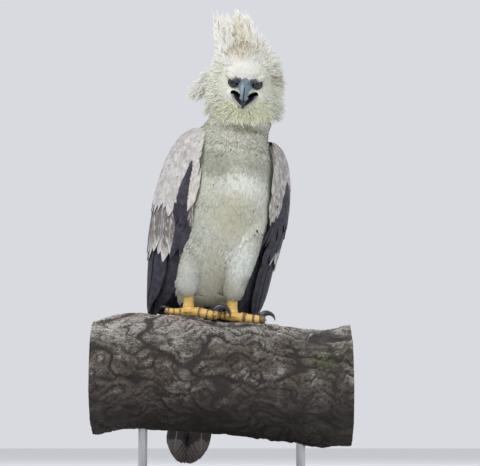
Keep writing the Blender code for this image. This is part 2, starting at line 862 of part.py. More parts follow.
# Rows of (across, depth, height, radius) down each feathered leg, in the world
LEG_PATHS = {
    -1: (
        (-0.036, 0.010, 0.235, 0.030),
        (-0.052, -0.004, 0.200, 0.044),
        (-0.066, -0.016, 0.155, 0.042),
        (-0.077, -0.022, 0.112, 0.033),
        (-0.082, -0.020, 0.080, 0.0275),
        (-0.081, -0.015, 0.062, 0.0245),
        (-0.081, -0.012, 0.052, 0.0160),
    ),
    1: (
        (0.082, 0.010, 0.225, 0.030),
        (0.082, -0.004, 0.190, 0.043),
        (0.070, -0.014, 0.145, 0.041),
        (0.052, -0.020, 0.102, 0.034),
        (0.038, -0.018, 0.070, 0.0285),
        (0.029, -0.013, 0.052, 0.0250),
        (0.026, -0.010, 0.042, 0.0160),
    ),
}
FOOT_MIDDLES = {-1: (-0.081, -0.010), 1: (0.024, -0.008)}
# Each toe, the outer one first and the hind one last: its heading in degrees from straight
# ahead, its length, its radius, the radius of its claw's curl and the length along that curl
TOES = {
    -1: (
        (-78, 0.052, 0.0085, 0.020, 0.030),
        (70, 0.078, 0.0122, 0.0175, 0.058),
        (128, 0.052, 0.0110, 0.024, 0.052),
        (196, 0.040, 0.0118, 0.027, 0.070),
    ),
    1: (
        (110, 0.060, 0.0095, 0.019, 0.034),
        (83, 0.078, 0.0118, 0.017, 0.044),
        (-96, 0.034, 0.0100, 0.018, 0.030),
        (178, 0.040, 0.0118, 0.027, 0.070),
    ),
}


def leg_feathers(side, grow=0.0):
    """The feathered part of one leg, down to the bare shank."""
    rows = LEG_PATHS[side]
    path = []
    for i, (x, y, z, radius) in enumerate(rows):
        path.append(((x, y, z), radius + grow, radius * 1.05 + grow))
    return bent_tube("leg", path, 16)


def limb_form(across):
    """Height of the limb's middle and its radius at a place along it."""
    top, bottom = between(
        (
            (-0.31, -0.007, -0.287),
            (-0.20, 0.0085, -0.278),
            (-0.10, 0.006, -0.279),
            (0.00, -0.006, -0.289),
            (0.10, -0.019, -0.3025),
            (0.20, -0.028, -0.315),
            (0.31, -0.021, -0.320),
        ),
        across,
    )
    return (top + bottom) / 2, (top - bottom) / 2


def bark_lump(across, turn):
    """How far the bark stands out of the limb's even form."""
    return (
        0.0022 * math.sin(5 * turn + 21 * across)
        + 0.0018 * math.sin(9 * turn - 34 * across + 1.0)
        + 0.0014 * math.sin(47 * across + 3 * turn)
    )


def limb_point(across, turn, out=0.0):
    """A place on the bark, at an angle from the limb's top towards the back."""
    middle, radius = limb_form(across)
    reach = radius + bark_lump(across, turn) - 0.004 + out
    return Vector((across, reach * math.sin(turn), middle + reach * math.cos(turn)))


def limb(grow=0.0):
    """The cut length of limb, with low ridges of bark."""
    rings = []
    for across in spread(LIMB_RINGS, *LIMB_ENDS):
        rings.append(
            [
                limb_point(across, 2 * math.pi * k / LIMB_SIDES, grow)
                for k in range(LIMB_SIDES)
            ]
        )
    return tube("perch_limb", rings)


def toe_path(side, number):
    """Rows of (place, radius) along one toe, which follows the bark."""
    heading, length, thick, _, _ = TOES[side][number]
    ahead = Vector((math.sin(math.radians(heading)), -math.cos(math.radians(heading))))
    x0, y0 = FOOT_MIDDLES[side]
    rows = []
    for s in spread(6, 0.0, 1.0):
        x = x0 + ahead.x * length * s
        y = y0 + ahead.y * length * s
        r = thick * (1.10 - 0.16 * s + 0.06 * math.cos(s * 4 * math.pi))
        turn = math.asin(y / limb_form(x)[1])
        rows.append((limb_point(x, turn, r * (0.80 + 0.22 * s * s)), r))
    return rows


def toe(side, number, grow=0.0):
    """One toe, jointed and padded, rising over the bark."""
    rows = toe_path(side, number)
    path = [(place, r + grow, r * 0.94 + grow) for place, r in rows]
    across = (rows[-1][0] - rows[0][0]).cross(Vector((0, 0, 1)))
    tip, r = rows[-1]
    ahead = (tip - rows[-2][0]).normalized()
    path.append((tip + ahead * r * 0.60, (r + grow) * 0.74, (r + grow) * 0.68))
    return bent_tube("toe", path, 8, across)


def claw(side, number, grow=0.0):
    """One hooked claw, from inside the toe's end over to the bark."""
    _, _, _, curl, reach = TOES[side][number]
    rows = toe_path(side, number)
    tip, r = rows[-1]
    ahead = (tip - rows[-2][0]).normalized()
    across = ahead.cross(Vector((0, 0, 1))).normalized()
    up = across.cross(ahead).normalized()
    start = tip + up * r * 0.40 - ahead * r * 0.30
    rise = math.radians(60)
    path = []
    for s in spread(8, 0.0, 1.0):
        angle = -rise + reach / curl * s
        forward = curl * (math.sin(angle) + math.sin(rise))
        height = curl * (math.cos(angle) - math.cos(rise))
        thick = CLAW_RADIUS * (1 - 0.90 * s**1.4) * (reach / 0.05) ** 0.35 + grow
        path.append((start + ahead * forward + up * height, thick * 0.86, thick))
    return bent_tube("claw", path, 8, across)


def foot(side):
    """The bare shank and the four toes of one foot, with scutes as steps."""
    x0, y0 = FOOT_MIDDLES[side]
    top = Vector(LEG_PATHS[side][-1][:3])
    sole = limb_point(x0, y0 / limb_form(x0)[1], 0.008)
    path = []
    for i, s in enumerate(spread(8, 0.0, 1.0)):
        place = top.lerp(sole, s)
        wide = 0.0128 + 0.0035 * eased(0.55, 1.0, s) + 0.0007 * (i % 2)
        path.append((place, wide, wide * 1.08))
    path.insert(0, (top + (top - sole) * 0.10, 0.0115, 0.0125))
    shank = bent_tube("foot", path, 12)
    combine(shank, [toe(side, n) for n in range(4)], "UNION")
    return combine(shank, [limb(GAP), leg_feathers(side, GAP)], "DIFFERENCE")


# Stand


def rod(place):
    """A rod from the base's top up to the limb's underside."""
    middle, radius = limb_form(place)
    low = BASE_SIZE[2] - PERCH_HEIGHT + GAP
    rings = []
    for height in (low, middle):
        rings.append(
            [
                Vector(
                    (
                        place + ROD_RADIUS * math.cos(2 * math.pi * k / 24),
                        ROD_RADIUS * math.sin(2 * math.pi * k / 24),
                        height,
                    )
                )
                for k in range(24)
            ]
        )
    made = tube("rod", rings)
    return combine(made, [limb(GAP)], "DIFFERENCE")


def base():
    """The flat base, its edges eased."""
    shape = bmesh.new()
    bmesh.ops.create_cube(shape, size=1.0)
    bmesh.ops.scale(shape, vec=BASE_SIZE, verts=shape.verts)
    bmesh.ops.translate(
        shape,
        vec=(*BASE_MIDDLE, BASE_SIZE[2] / 2 - PERCH_HEIGHT),
        verts=shape.verts,
    )
    upper = [e for e in shape.edges if any(v.co.z > BASE_SIZE[2] / 2 - PERCH_HEIGHT for v in e.verts)]
    bmesh.ops.bevel(
        shape, geom=upper, offset=BASE_BEVEL, segments=2, profile=0.5, affect="EDGES", material=-1
    )
    mesh = bpy.data.meshes.new("base")
    shape.to_mesh(mesh)
    shape.free()
    made = bpy.data.objects.new("base", mesh)
    bpy.context.scene.collection.objects.link(made)
    return made


def build():
    """Clears the scene and builds every node."""
    for thing in list(bpy.data.objects):
        bpy.data.objects.remove(thing)
    datum = bpy.data.objects.new("perch_datum", None)
    datum.location = (0, 0, PERCH_HEIGHT)
    bpy.context.scene.collection.objects.link(datum)

    finished(torso(), "torso", PALE_BODY)
    finished(neck(), "neck", PALE_DOWN)
    finished(combine(crest(), [head_form(GAP)], "DIFFERENCE"), "crest", PALE_DOWN)
    bill = combine(upper_bill(), [head_form(GAP), *nostrils()], "DIFFERENCE")
    finished(bill, "bill_upper", BILL_BLUE, 0.35)
    bill = combine(lower_bill(), [head_form(GAP)], "DIFFERENCE")
    finished(bill, "bill_lower", BILL_BLUE, 0.35)
    for side, word in ((-1, "right"), (1, "left")):
        ball = combine(eye(side), [head_form(GAP)], "DIFFERENCE")
        finished(ball, f"eye_{word}", EYE_DARK, 0.05)
        finished(wing(side), f"wing_{word}", SLATE)
        shin = combine(leg_feathers(side), [grown_torso()], "DIFFERENCE")
        finished(shin, f"leg_{word}", PALE_BODY)
        finished(foot(side), f"foot_{word}", FOOT_YELLOW, 0.5)
        for number in range(4):
            nail = combine(claw(side, number), [toe(side, number, GAP), limb(GAP)], "DIFFERENCE")
            finished(nail, f"claw_{word}_{number + 1}", CLAW_BLACK, 0.3)
    finished(head(), "head", PALE_DOWN)
    finished(tail([grown_torso()]), "tail", TAIL_BROWN)
    finished(limb(), "perch_limb", BARK, 0.9)
    for place, word in zip(ROD_PLACES, ("right", "left")):
        finished(rod(place), f"stand_rod_{word}", STEEL, 0.3, 1.0)
    finished(base(), "stand_base", STAND_BLACK, 0.4, smooth=False)


build()
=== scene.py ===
"""The looks of a young harpy eagle, still and life-size, on a cut limb over a display stand.

The forms of the trunk, wings, tail and feet repeat the named sizes of the CAD model. One skin
carries the body's feathers, and every feather is a thin closed vane or leaf of mesh over it.
Lengths are in metres, +Z is up, the bird faces -Y and its left side is +X.
"""

import logging
import math
from dataclasses import dataclass, field
from enum import Enum
from typing import Any, Callable, Sequence

import bmesh
import bpy
import numpy as np
from mathutils import Matrix, Vector
from mathutils.bvhtree import BVHTree


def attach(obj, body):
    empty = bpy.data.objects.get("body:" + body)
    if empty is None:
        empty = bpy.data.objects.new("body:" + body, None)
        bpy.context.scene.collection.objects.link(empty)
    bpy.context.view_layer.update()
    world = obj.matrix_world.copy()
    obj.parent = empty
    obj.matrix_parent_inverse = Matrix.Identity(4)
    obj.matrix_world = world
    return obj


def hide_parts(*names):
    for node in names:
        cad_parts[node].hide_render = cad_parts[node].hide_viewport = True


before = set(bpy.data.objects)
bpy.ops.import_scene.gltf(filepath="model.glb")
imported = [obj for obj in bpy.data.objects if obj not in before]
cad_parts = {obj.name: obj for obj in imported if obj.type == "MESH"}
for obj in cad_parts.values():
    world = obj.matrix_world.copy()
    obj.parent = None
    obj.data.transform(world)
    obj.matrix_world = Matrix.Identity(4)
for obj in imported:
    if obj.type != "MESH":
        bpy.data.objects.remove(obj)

log = logging.getLogger("harpy_eagle")

Array = np.ndarray
Colour = tuple[float, float, float]
Place = tuple[float, float, float]
BAKE_MAP = "OFBake"
TUFT_PATCH = 0.003
DATUM = 0.420


class Side(Enum):
    """The bird's own right and left."""

    RIGHT = -1
    LEFT = 1

    @property
    def word(self) -> str:
        """The side's name in the CAD nodes."""
        return self.name.lower()


# Numbers and frames


def unit(vectors: Array) -> Array:
    """Vectors of length one."""
    return vectors / np.maximum(np.linalg.norm(vectors, axis=-1, keepdims=True), 1e-12)


def eased(low: float, high: float, at: Any) -> Any:
    """0 below low, 1 above high, and a smooth step between them."""
    s = np.clip((np.asarray(at, float) - low) / (high - low), 0.0, 1.0)
    return s * s * (3 - 2 * s)


def carry(place: Matrix, points: Array) -> Array:
    """Points of a frame, in the world."""
    m = np.array(place)
    return np.asarray(points, float) @ m[:3, :3].T + m[:3, 3]


def into(place: Matrix, points: Array) -> Array:
    """World points, in a frame."""
    return carry(place.inverted(), points)


def turned(place: Matrix, way: Any) -> Array:
    """A direction of a frame, in the world."""
    return np.array(place.to_3x3() @ Vector(way))


def around(count: int) -> Array:
    """Angles spread evenly round a circle."""
    return np.linspace(0, 2 * math.pi, count, endpoint=False)


def shaken(a: Array, b: Array, seed: float) -> Array:
    """An even value from 0 to 1 that two numbers and a seed always give alike.

    Args:
        a: First number of each value.
        b: Second number of each value.
        seed: Which set of values.

    Returns:
        An array of values from 0 to 1.
    """
    mixed = np.sin(a * 127.1 + b * 311.7 + seed * 74.7) * 43758.5453
    return mixed - np.floor(mixed)


@dataclass(frozen=True)
class Curve:
    """A smooth curve through rows of (place, value, ...).

    Between two rows it is a cubic that passes through both.
    """

    rows: tuple[tuple[float, ...], ...]

    def at(self, places: Any) -> Array:
        """The values at some places.

        Args:
            places: One number or an array of them.

        Returns:
            An array with one more axis than places, over the values of a row.
        """
        table = np.array(self.rows, float)
        x, y = table[:, 0], table[:, 1:]
        shape = np.shape(places)
        p = np.clip(np.ravel(np.asarray(places, float)), x[0], x[-1])
        low = np.clip(np.searchsorted(x, p, side="right") - 1, 0, len(x) - 2)
        before, last = np.maximum(low - 1, 0), low + 1
        after = np.minimum(low + 2, len(x) - 1)
        span = (x[last] - x[low])[:, None]
        s = (p - x[low])[:, None] / span
        leaving = span * (y[last] - y[before]) / (x[last] - x[before])[:, None]
        arriving = span * (y[after] - y[low]) / (x[after] - x[low])[:, None]
        rise = y[last] - y[low]
        made = (
            y[low]
            + leaving * s
            + (3 * rise - 2 * leaving - arriving) * s**2
            + (leaving + arriving - 2 * rise) * s**3
        )
        return made.reshape(*shape, y.shape[1])


def through(rows: Sequence[Sequence[float]], count: int) -> Array:
    """Values along a smooth curve through rows that are evenly apart.

    Args:
        rows: The rows.
        count: How many places along them.

    Returns:
        The values, (place, value).
    """
    table = tuple((float(i), *row) for i, row in enumerate(rows))
    return Curve(table).at(np.linspace(0, len(rows) - 1, count))


TRUNK = (
    Matrix.Translation((-0.046, 0.0, DATUM))
    @ Matrix.Rotation(math.radians(9.4), 4, "Y")
    @ Matrix.Rotation(math.radians(10.0), 4, "Z")
)
HEAD_RISE = 0.575
HEAD = Matrix.Translation((0.058, 0.004, DATUM + HEAD_RISE)) @ Matrix.Rotation(
    math.radians(5.5), 4, "Y"
)
FACE = HEAD @ Matrix.Rotation(math.radians(15.0), 4, "X")


# Shader nodes


class Wire:
    """An output socket of a shader tree, with arithmetic."""

    def __init__(self, recipe: "Recipe", socket: Any) -> None:
        """Wraps a socket of a recipe."""
        self.recipe = recipe
        self.socket = socket

    def _maths(self, operation: str, first: Any, second: Any) -> "Wire":
        """A Math node on two values."""
        made = self.recipe.node("ShaderNodeMath", {"operation": operation}, {0: first, 1: second})
        return Wire(self.recipe, made.outputs[0])

    def __add__(self, other: Any) -> "Wire":
        """Sum."""
        return self._maths("ADD", self, other)

    __radd__ = __add__

    def __sub__(self, other: Any) -> "Wire":
        """Difference."""
        return self._maths("SUBTRACT", self, other)

    def __rsub__(self, other: Any) -> "Wire":
        """Difference, the other way round."""
        return self._maths("SUBTRACT", other, self)

    def __mul__(self, other: Any) -> "Wire":
        """Product."""
        return self._maths("MULTIPLY", self, other)

    __rmul__ = __mul__

    def __abs__(self) -> "Wire":
        """The value without its sign."""
        return self._maths("ABSOLUTE", self, 0.0)

    def sine(self) -> "Wire":
        """The sine of the value."""
        return self._maths("SINE", self, 0.0)

    def step(self, low: float, high: float) -> "Wire":
        """A smooth step from 0 at low to 1 at high.

        Args:
            low: Value that gives 0.
            high: Value that gives 1, over or under low.

        Returns:
            The step as a socket.
        """
        made = self.recipe.node(
            "ShaderNodeMapRange",
            {"interpolation_type": "SMOOTHSTEP", "clamp": True},
            {"Value": self, "From Min": low, "From Max": high},
        )
        return Wire(self.recipe, made.outputs["Result"])


class Recipe:
    """The node tree of one material."""

    def __init__(self, name: str) -> None:
        """Starts a material with its Principled shader.

        Args:
            name: The material's name.
        """
        self.material = bpy.data.materials.new(name)
        self.material.use_nodes = True
        self.tree = self.material.node_tree
        self.shader = self.tree.nodes["Principled BSDF"]

    def node(self, kind: str, settings: dict[str, Any], values: dict[Any, Any]) -> Any:
        """Adds a node.

        Args:
            kind: The node's type.
            settings: Its own properties, set before the sockets.
            values: Values, or wires to link, by the sockets' names or numbers.

        Returns:
            The node.
        """
        made = self.tree.nodes.new(kind)
        for key, value in settings.items():
            setattr(made, key, value)
        for key, value in values.items():
            self.feed(made.inputs[key], value)
        return made

    def feed(self, socket: Any, value: Any) -> None:
        """Sets a socket, or links a wire to it.

        Args:
            socket: An input socket.
            value: A number, a colour or a wire.
        """
        if isinstance(value, Wire):
            self.tree.links.new(value.socket, socket)
        elif isinstance(value, tuple) and len(socket.default_value) == 4:
            socket.default_value = (*value, 1.0)[:4]
        else:
            socket.default_value = value

    def place(self) -> Wire:
        """The place on the object, in metres."""
        return Wire(self, self.node("ShaderNodeTexCoord", {}, {}).outputs["Object"])

    def mark(self, name: str) -> Wire:
        """A vector that the mesh carries under a name."""
        made = self.node("ShaderNodeAttribute", {"attribute_name": name}, {})
        return Wire(self, made.outputs["Vector"])

    def parts(self, vector: Wire) -> tuple[Wire, Wire, Wire]:
        """The three numbers of a vector."""
        made = self.node("ShaderNodeSeparateXYZ", {}, {0: vector})
        return tuple(Wire(self, out) for out in made.outputs[:3])

    def vector(self, operation: str, first: Any, second: Any) -> Wire:
        """A Vector Math node's vector."""
        kind, settings = "ShaderNodeVectorMath", {"operation": operation}
        return Wire(self, self.node(kind, settings, {0: first, 1: second}).outputs["Vector"])

    def reach(self, place: Wire, centre: Place, radii: Place) -> Wire:
        """How far a place is from a centre, where 1 is on an ellipsoid of these radii.

        Args:
            place: The place.
            centre: The ellipsoid's middle.
            radii: Its three radii.

        Returns:
            The distance as a socket.
        """
        away = self.vector("SUBTRACT", place, centre)
        scaled = self.vector("DIVIDE", away, radii)
        made = self.node("ShaderNodeVectorMath", {"operation": "LENGTH"}, {0: scaled})
        return Wire(self, made.outputs["Value"])

    def noise(self, place: Wire, scale: float, detail: float = 3.0, rough: float = 0.55) -> Wire:
        """Smooth noise, mostly from 0.3 to 0.7.

        Args:
            place: Where it is read.
            scale: Waves to a metre.
            detail: Octaves.
            rough: How strong the finer ones are.

        Returns:
            The noise as a socket.
        """
        values = {"Vector": place, "Scale": scale, "Detail": detail, "Roughness": rough}
        made = self.node("ShaderNodeTexNoise", {}, values)
        return Wire(self, made.outputs["Fac"])

    def cells(self, place: Wire, scale: float) -> Wire:
        """Distance inside a pattern of cells, of which there are scale to a metre."""
        made = self.node("ShaderNodeTexVoronoi", {}, {"Vector": place, "Scale": scale})
        return Wire(self, made.outputs["Distance"])

    def mix(self, share: Any, first: Any, second: Any, blend: str = "MIX") -> Wire:
        """A mix of two colours.

        Args:
            share: How much of the second.
            first: A colour or wire.
            second: A colour or wire.
            blend: Blender's name of the way they mix.

        Returns:
            The colour as a socket.
        """
        settings = {"data_type": "RGBA", "blend_type": blend}
        made = self.node("ShaderNodeMix", settings, {0: share, 6: first, 7: second})
        return Wire(self, made.outputs[2])

    def bump(self, height: Wire, distance: float, strength: float = 1.0) -> Wire:
        """A bumped normal from a height from 0 to 1 and its depth in metres."""
        values = {"Height": height, "Distance": distance, "Strength": strength}
        return Wire(self, self.node("ShaderNodeBump", {}, values).outputs["Normal"])

    def finish(self, **values: Any) -> bpy.types.Material:
        """Feeds the shader's sockets, whose names have _ for a space.

        Args:
            values: Values or wires by the sockets' names.

        Returns:
            The material.
        """
        for key, value in values.items():
            self.feed(self.shader.inputs[key.replace("_", " ")], value)
        return self.material


# Finishes


def made_once(name: str, make: Callable[[], bpy.types.Material]) -> bpy.types.Material:
    """The material of a name, which is made the first time that it is asked for."""
    return bpy.data.materials.get(name) or make()


@dataclass(frozen=True)
class Patch:
    """A soft-edged patch of colour on the plumage."""

    centre: Place
    radii: Place
    tint: Colour
    share: float = 0.6


@dataclass(frozen=True)
class Plumage:
    """White down and body feathers with their faint dirt, cream and grey markings, and painted
    shade on the neck, under the chin, on the lower cheeks and on the right flank, with painted
    light on the chin.
    """

    snow: Colour = (0.868, 0.863, 0.812)
    oat: Colour = (0.600, 0.605, 0.520)
    ash: Colour = (0.400, 0.410, 0.350)
    cream: Colour = (0.620, 0.590, 0.450)
    patches: tuple[Patch, ...] = (
        # Painted shade over a real grey-green tint: the neck and upper chest below the ruff.
        Patch((-0.005, -0.08, 0.814), (0.042, 0.09, 0.040), (0.290, 0.300, 0.235), 0.90),
        Patch((0.083, -0.08, 0.814), (0.046, 0.09, 0.040), (0.310, 0.320, 0.255), 0.85),
        Patch((0.039, -0.09, 0.826), (0.080, 0.09, 0.028), (0.370, 0.380, 0.305), 0.60),
        Patch((0.056, -0.09, 0.760), (0.055, 0.09, 0.036), (0.800, 0.830, 0.740), 0.75),
        Patch((0.036, -0.09, 0.690), (0.055, 0.09, 0.062), (0.530, 0.510, 0.370), 0.78),
        Patch((0.098, -0.08, 0.680), (0.034, 0.09, 0.055), (0.600, 0.620, 0.510), 0.65),
        Patch((0.004, -0.08, 0.540), (0.048, 0.09, 0.085), (0.500, 0.485, 0.370), 0.85),
        # Painted shade: darker grey-green on the right flank beside the wing.
        Patch((-0.069, -0.05, 0.655), (0.026, 0.07, 0.055), (0.370, 0.400, 0.345), 0.70),
        Patch((0.054, -0.05, 0.560), (0.036, 0.04, 0.070), (0.840, 0.870, 0.820), 0.85),
        Patch((-0.078, -0.05, 0.525), (0.034, 0.04, 0.050), (0.740, 0.760, 0.700), 0.80),
        # The chin's cream, made brighter than the white as painted light on the shaded chin.
        Patch((0.058, -0.060, 0.930), (0.070, 0.05, 0.024), (0.960, 0.960, 0.660), 0.80),
        # Painted shadow: a dark line under the overhanging chin feathers.
        Patch((0.058, -0.060, 0.899), (0.066, 0.06, 0.013), (0.190, 0.185, 0.110), 0.80),
        # Painted shade over a real cream tint: the lower cheeks darker.
        Patch((-0.008, -0.030, 0.975), (0.040, 0.06, 0.070), (0.760, 0.780, 0.600), 0.55),
        Patch((0.112, -0.030, 0.975), (0.040, 0.06, 0.070), (0.680, 0.700, 0.530), 0.55),
        Patch((0.127, -0.040, 0.996), (0.022, 0.03, 0.018), (0.300, 0.215, 0.130), 0.65),
        Patch((0.052, -0.030, 1.062), (0.034, 0.045, 0.030), (0.660, 0.610, 0.470), 0.80),
        Patch((0.055, 0.010, 1.105), (0.045, 0.08, 0.045), (0.800, 0.765, 0.640), 0.80),
        Patch((0.038, -0.030, 1.058), (0.014, 0.03, 0.009), (0.400, 0.320, 0.220), 0.55),
        Patch((0.062, -0.040, 0.520), (0.011, 0.03, 0.020), (0.170, 0.170, 0.130), 0.50),
        Patch((0.000, 0.120, 0.640), (0.075, 0.062, 0.240), (0.330, 0.315, 0.315), 0.85),
    )
    lores: Colour = (0.060, 0.080, 0.100)
    lores_middle: Place = (0.0165, -0.066, 0.004)
    lores_radii: Place = (0.0115, 0.014, 0.0125)
    lining: Colour = (0.010, 0.007, 0.009)

    def colour(self, recipe: Recipe, place: Wire) -> Wire:
        """The markings, painted shade and painted light at a place, the same for the skin and its
        coat.

        Args:
            recipe: The tree they go in.
            place: Where they are read.

        Returns:
            The colour as a socket.
        """
        _, _, high = recipe.parts(place)
        broad = recipe.noise(place, 13.0, 3.0).step(0.36, 0.66)
        fine = recipe.noise(place, 60.0, 3.0).step(0.36, 0.68)
        streaks = recipe.noise(recipe.vector("MULTIPLY", place, (1.0, 1.0, 0.3)), 120.0, 2.0)
        tone = recipe.mix(high.step(0.945, 0.890), self.snow, self.oat)
        low = high.step(0.98, 0.90)
        tone = recipe.mix(broad * (low * 0.35 + 0.12), tone, self.ash)
        tone = recipe.mix(fine * 0.22, tone, self.cream)
        # Patches of real colour, and of painted shade and painted light as marked in the table.
        for patch in self.patches:
            edge = recipe.reach(place, patch.centre, patch.radii) + (fine - 0.5) * 0.35
            tone = recipe.mix(edge.step(1.25, 0.35) * patch.share, tone, patch.tint)
        tone = recipe.mix(streaks.step(0.52, 0.72) * (low * 0.30 + 0.05), tone, self.ash)
        for side in Side:
            centre = tuple(carry(FACE, np.array(self.lores_middle) * (side.value, 1, 1)))
            near = recipe.reach(place, centre, self.lores_radii)
            tone = recipe.mix(near.step(1.15, 0.75) * 0.92, tone, self.lores)
        return tone

    def coat(self) -> bpy.types.Material:
        """The material of the tufts, read at each tuft's root.

        Returns:
            The material.
        """
        recipe = Recipe("plumage_white")
        along, across, tone = recipe.parts(recipe.mark("lay"))
        colour = self.colour(recipe, recipe.mark("root"))
        # Painted shade towards each tuft's root, where the tufts over it would shade it, times the
        # tuft's own random tone.
        root_shade_and_tone = along.step(-0.1, 0.60) * 0.14 + tone * 0.16 + 0.74
        colour = recipe.mix(1.0, colour, self._grey(recipe, root_shade_and_tone), "MULTIPLY")
        barbs = ((along * 1.6 + abs(across) * 1.1) * 62.0).sine() * 0.5 + 0.5
        quill = abs(across).step(0.10, 0.0)
        normal = recipe.bump(barbs * 0.6 + quill, 0.0004, 0.5)
        return recipe.finish(
            Base_Color=colour,
            Roughness=0.82,
            Normal=normal,
            Specular_IOR_Level=0.25,
            Subsurface_Weight=0.0,
            Sheen_Weight=0.25,
            Sheen_Roughness=0.5,
        )

    def skin(self) -> bpy.types.Material:
        """The material of the skin below the coat, with the mouth's dark lining.

        Returns:
            The material.
        """
        recipe = Recipe("plumage_skin")
        place = recipe.place()
        colour = self.colour(recipe, place)
        inside, _, _ = recipe.parts(recipe.mark("mark"))
        colour = recipe.mix(inside.step(0.95, 0.985), colour, self.lining)
        down = recipe.noise(place, 420.0, 2.0)
        normal = recipe.bump(down, 0.002, 0.8)
        return recipe.finish(Base_Color=colour, Roughness=0.9, Normal=normal)

    @staticmethod
    def _grey(recipe: Recipe, value: Wire) -> Wire:
        """A grey of a value, as a colour."""
        made = recipe.node("ShaderNodeCombineXYZ", {}, {0: value, 1: value, 2: value})
        return Wire(recipe, made.outputs[0])


@dataclass(frozen=True)
class FlightPlumage:
    """Stiff feathers of the wing: pale grey coverts, slate-black flight feathers."""

    pale: Colour = (0.400, 0.375, 0.365)
    bright: Colour = (0.690, 0.665, 0.655)
    slate: Colour = (0.014, 0.014, 0.026)
    wear_and_shade: Colour = (0.075, 0.066, 0.085)
    cream: Colour = (0.66, 0.64, 0.54)
    streaked: Colour = (0.300, 0.275, 0.265)
    shaded: Colour = (0.150, 0.132, 0.120)
    shaft: Colour = (0.30, 0.26, 0.26)

    def coat(self) -> bpy.types.Material:
        """The material, where the mark says how dark, how warm and how dull a place is.

        Returns:
            The material.
        """
        recipe = Recipe("plumage_wing")
        along, across, tone = recipe.parts(recipe.mark("lay"))
        dark, warm, dull = recipe.parts(recipe.mark("mark"))
        place = recipe.place()
        mottle = recipe.noise(place, 70.0, 3.0).step(0.35, 0.68)
        pale = recipe.mix(mottle * 0.5 + tone * 0.45, self.bright, self.pale)
        pale = recipe.mix(warm * 0.6, pale, self.cream)
        streak = recipe.noise(recipe.vector("MULTIPLY", place, (1.0, 1.0, 0.25)), 190.0, 2.0)
        pale = recipe.mix(streak.step(0.45, 0.68) * 0.45, pale, self.streaked)
        # Grey-brown where the mark is dull: towards the coverts' bases, and as painted shade over
        # the left wing.
        pale = recipe.mix(dull * streak.step(0.25, 0.55), pale, self.shaded)
        rim = abs(across).step(0.72, 1.0)
        pale = recipe.mix(rim * 0.40, pale, self.bright)
        quill = abs(across).step(0.07, 0.02)
        pale = recipe.mix(quill * 0.35, pale, self.shaft)
        deep = recipe.mix(mottle * 0.45 + rim * 0.35, self.slate, self.wear_and_shade)
        share = (dark + (mottle - 0.5) * 0.22).step(0.38, 0.62)
        colour = recipe.mix(share, pale, deep)
        barbs = ((along * 4.0 + abs(across) * 1.3) * 70.0).sine() * 0.5 + 0.5
        normal = recipe.bump(barbs * 0.5 + quill, 0.0004, 0.6)
        rough = 0.62 - share * 0.16
        return recipe.finish(
            Base_Color=colour, Roughness=rough, Normal=normal, Specular_IOR_Level=0.4
        )


@dataclass(frozen=True)
class TailPlumage:
    """Long brown-grey tail feathers with dark bars and pale shafts."""

    pale: Colour = (0.300, 0.262, 0.245)
    bar: Colour = (0.055, 0.046, 0.052)
    tip: Colour = (0.430, 0.390, 0.370)
    rim: Colour = (0.040, 0.034, 0.052)
    shaft: Colour = (0.62, 0.56, 0.54)
    bars: float = 7.0

    def coat(self) -> bpy.types.Material:
        """The material, with its bars counted along the feather.

        Returns:
            The material.
        """
        recipe = Recipe("plumage_tail")
        along, across, tone = recipe.parts(recipe.mark("lay"))
        place = recipe.place()
        fine = recipe.noise(place, 160.0, 4.0)
        wave = (along * self.bars * 2 * math.pi + fine * 2.2 - abs(across) * 0.7).sine()
        bars = wave.step(-0.15, 0.35) * along.step(0.985, 0.94)
        colour = recipe.mix(fine.step(0.35, 0.70) * 0.6 + tone * 0.3, self.pale, self.tip)
        colour = recipe.mix(bars * 0.85, colour, self.bar)
        edge = abs(across).step(0.72, 1.0)
        colour = recipe.mix(edge * 0.55, colour, self.rim)
        quill = abs(across).step(0.075, 0.03)
        colour = recipe.mix(quill * 0.75, colour, self.shaft)
        barbs = ((along * 6.0 + abs(across) * 1.3) * 64.0).sine() * 0.5 + 0.5
        normal = recipe.bump(barbs * 0.5 + quill, 0.0004, 0.6)
        return recipe.finish(Base_Color=colour, Roughness=0.6, Normal=normal)


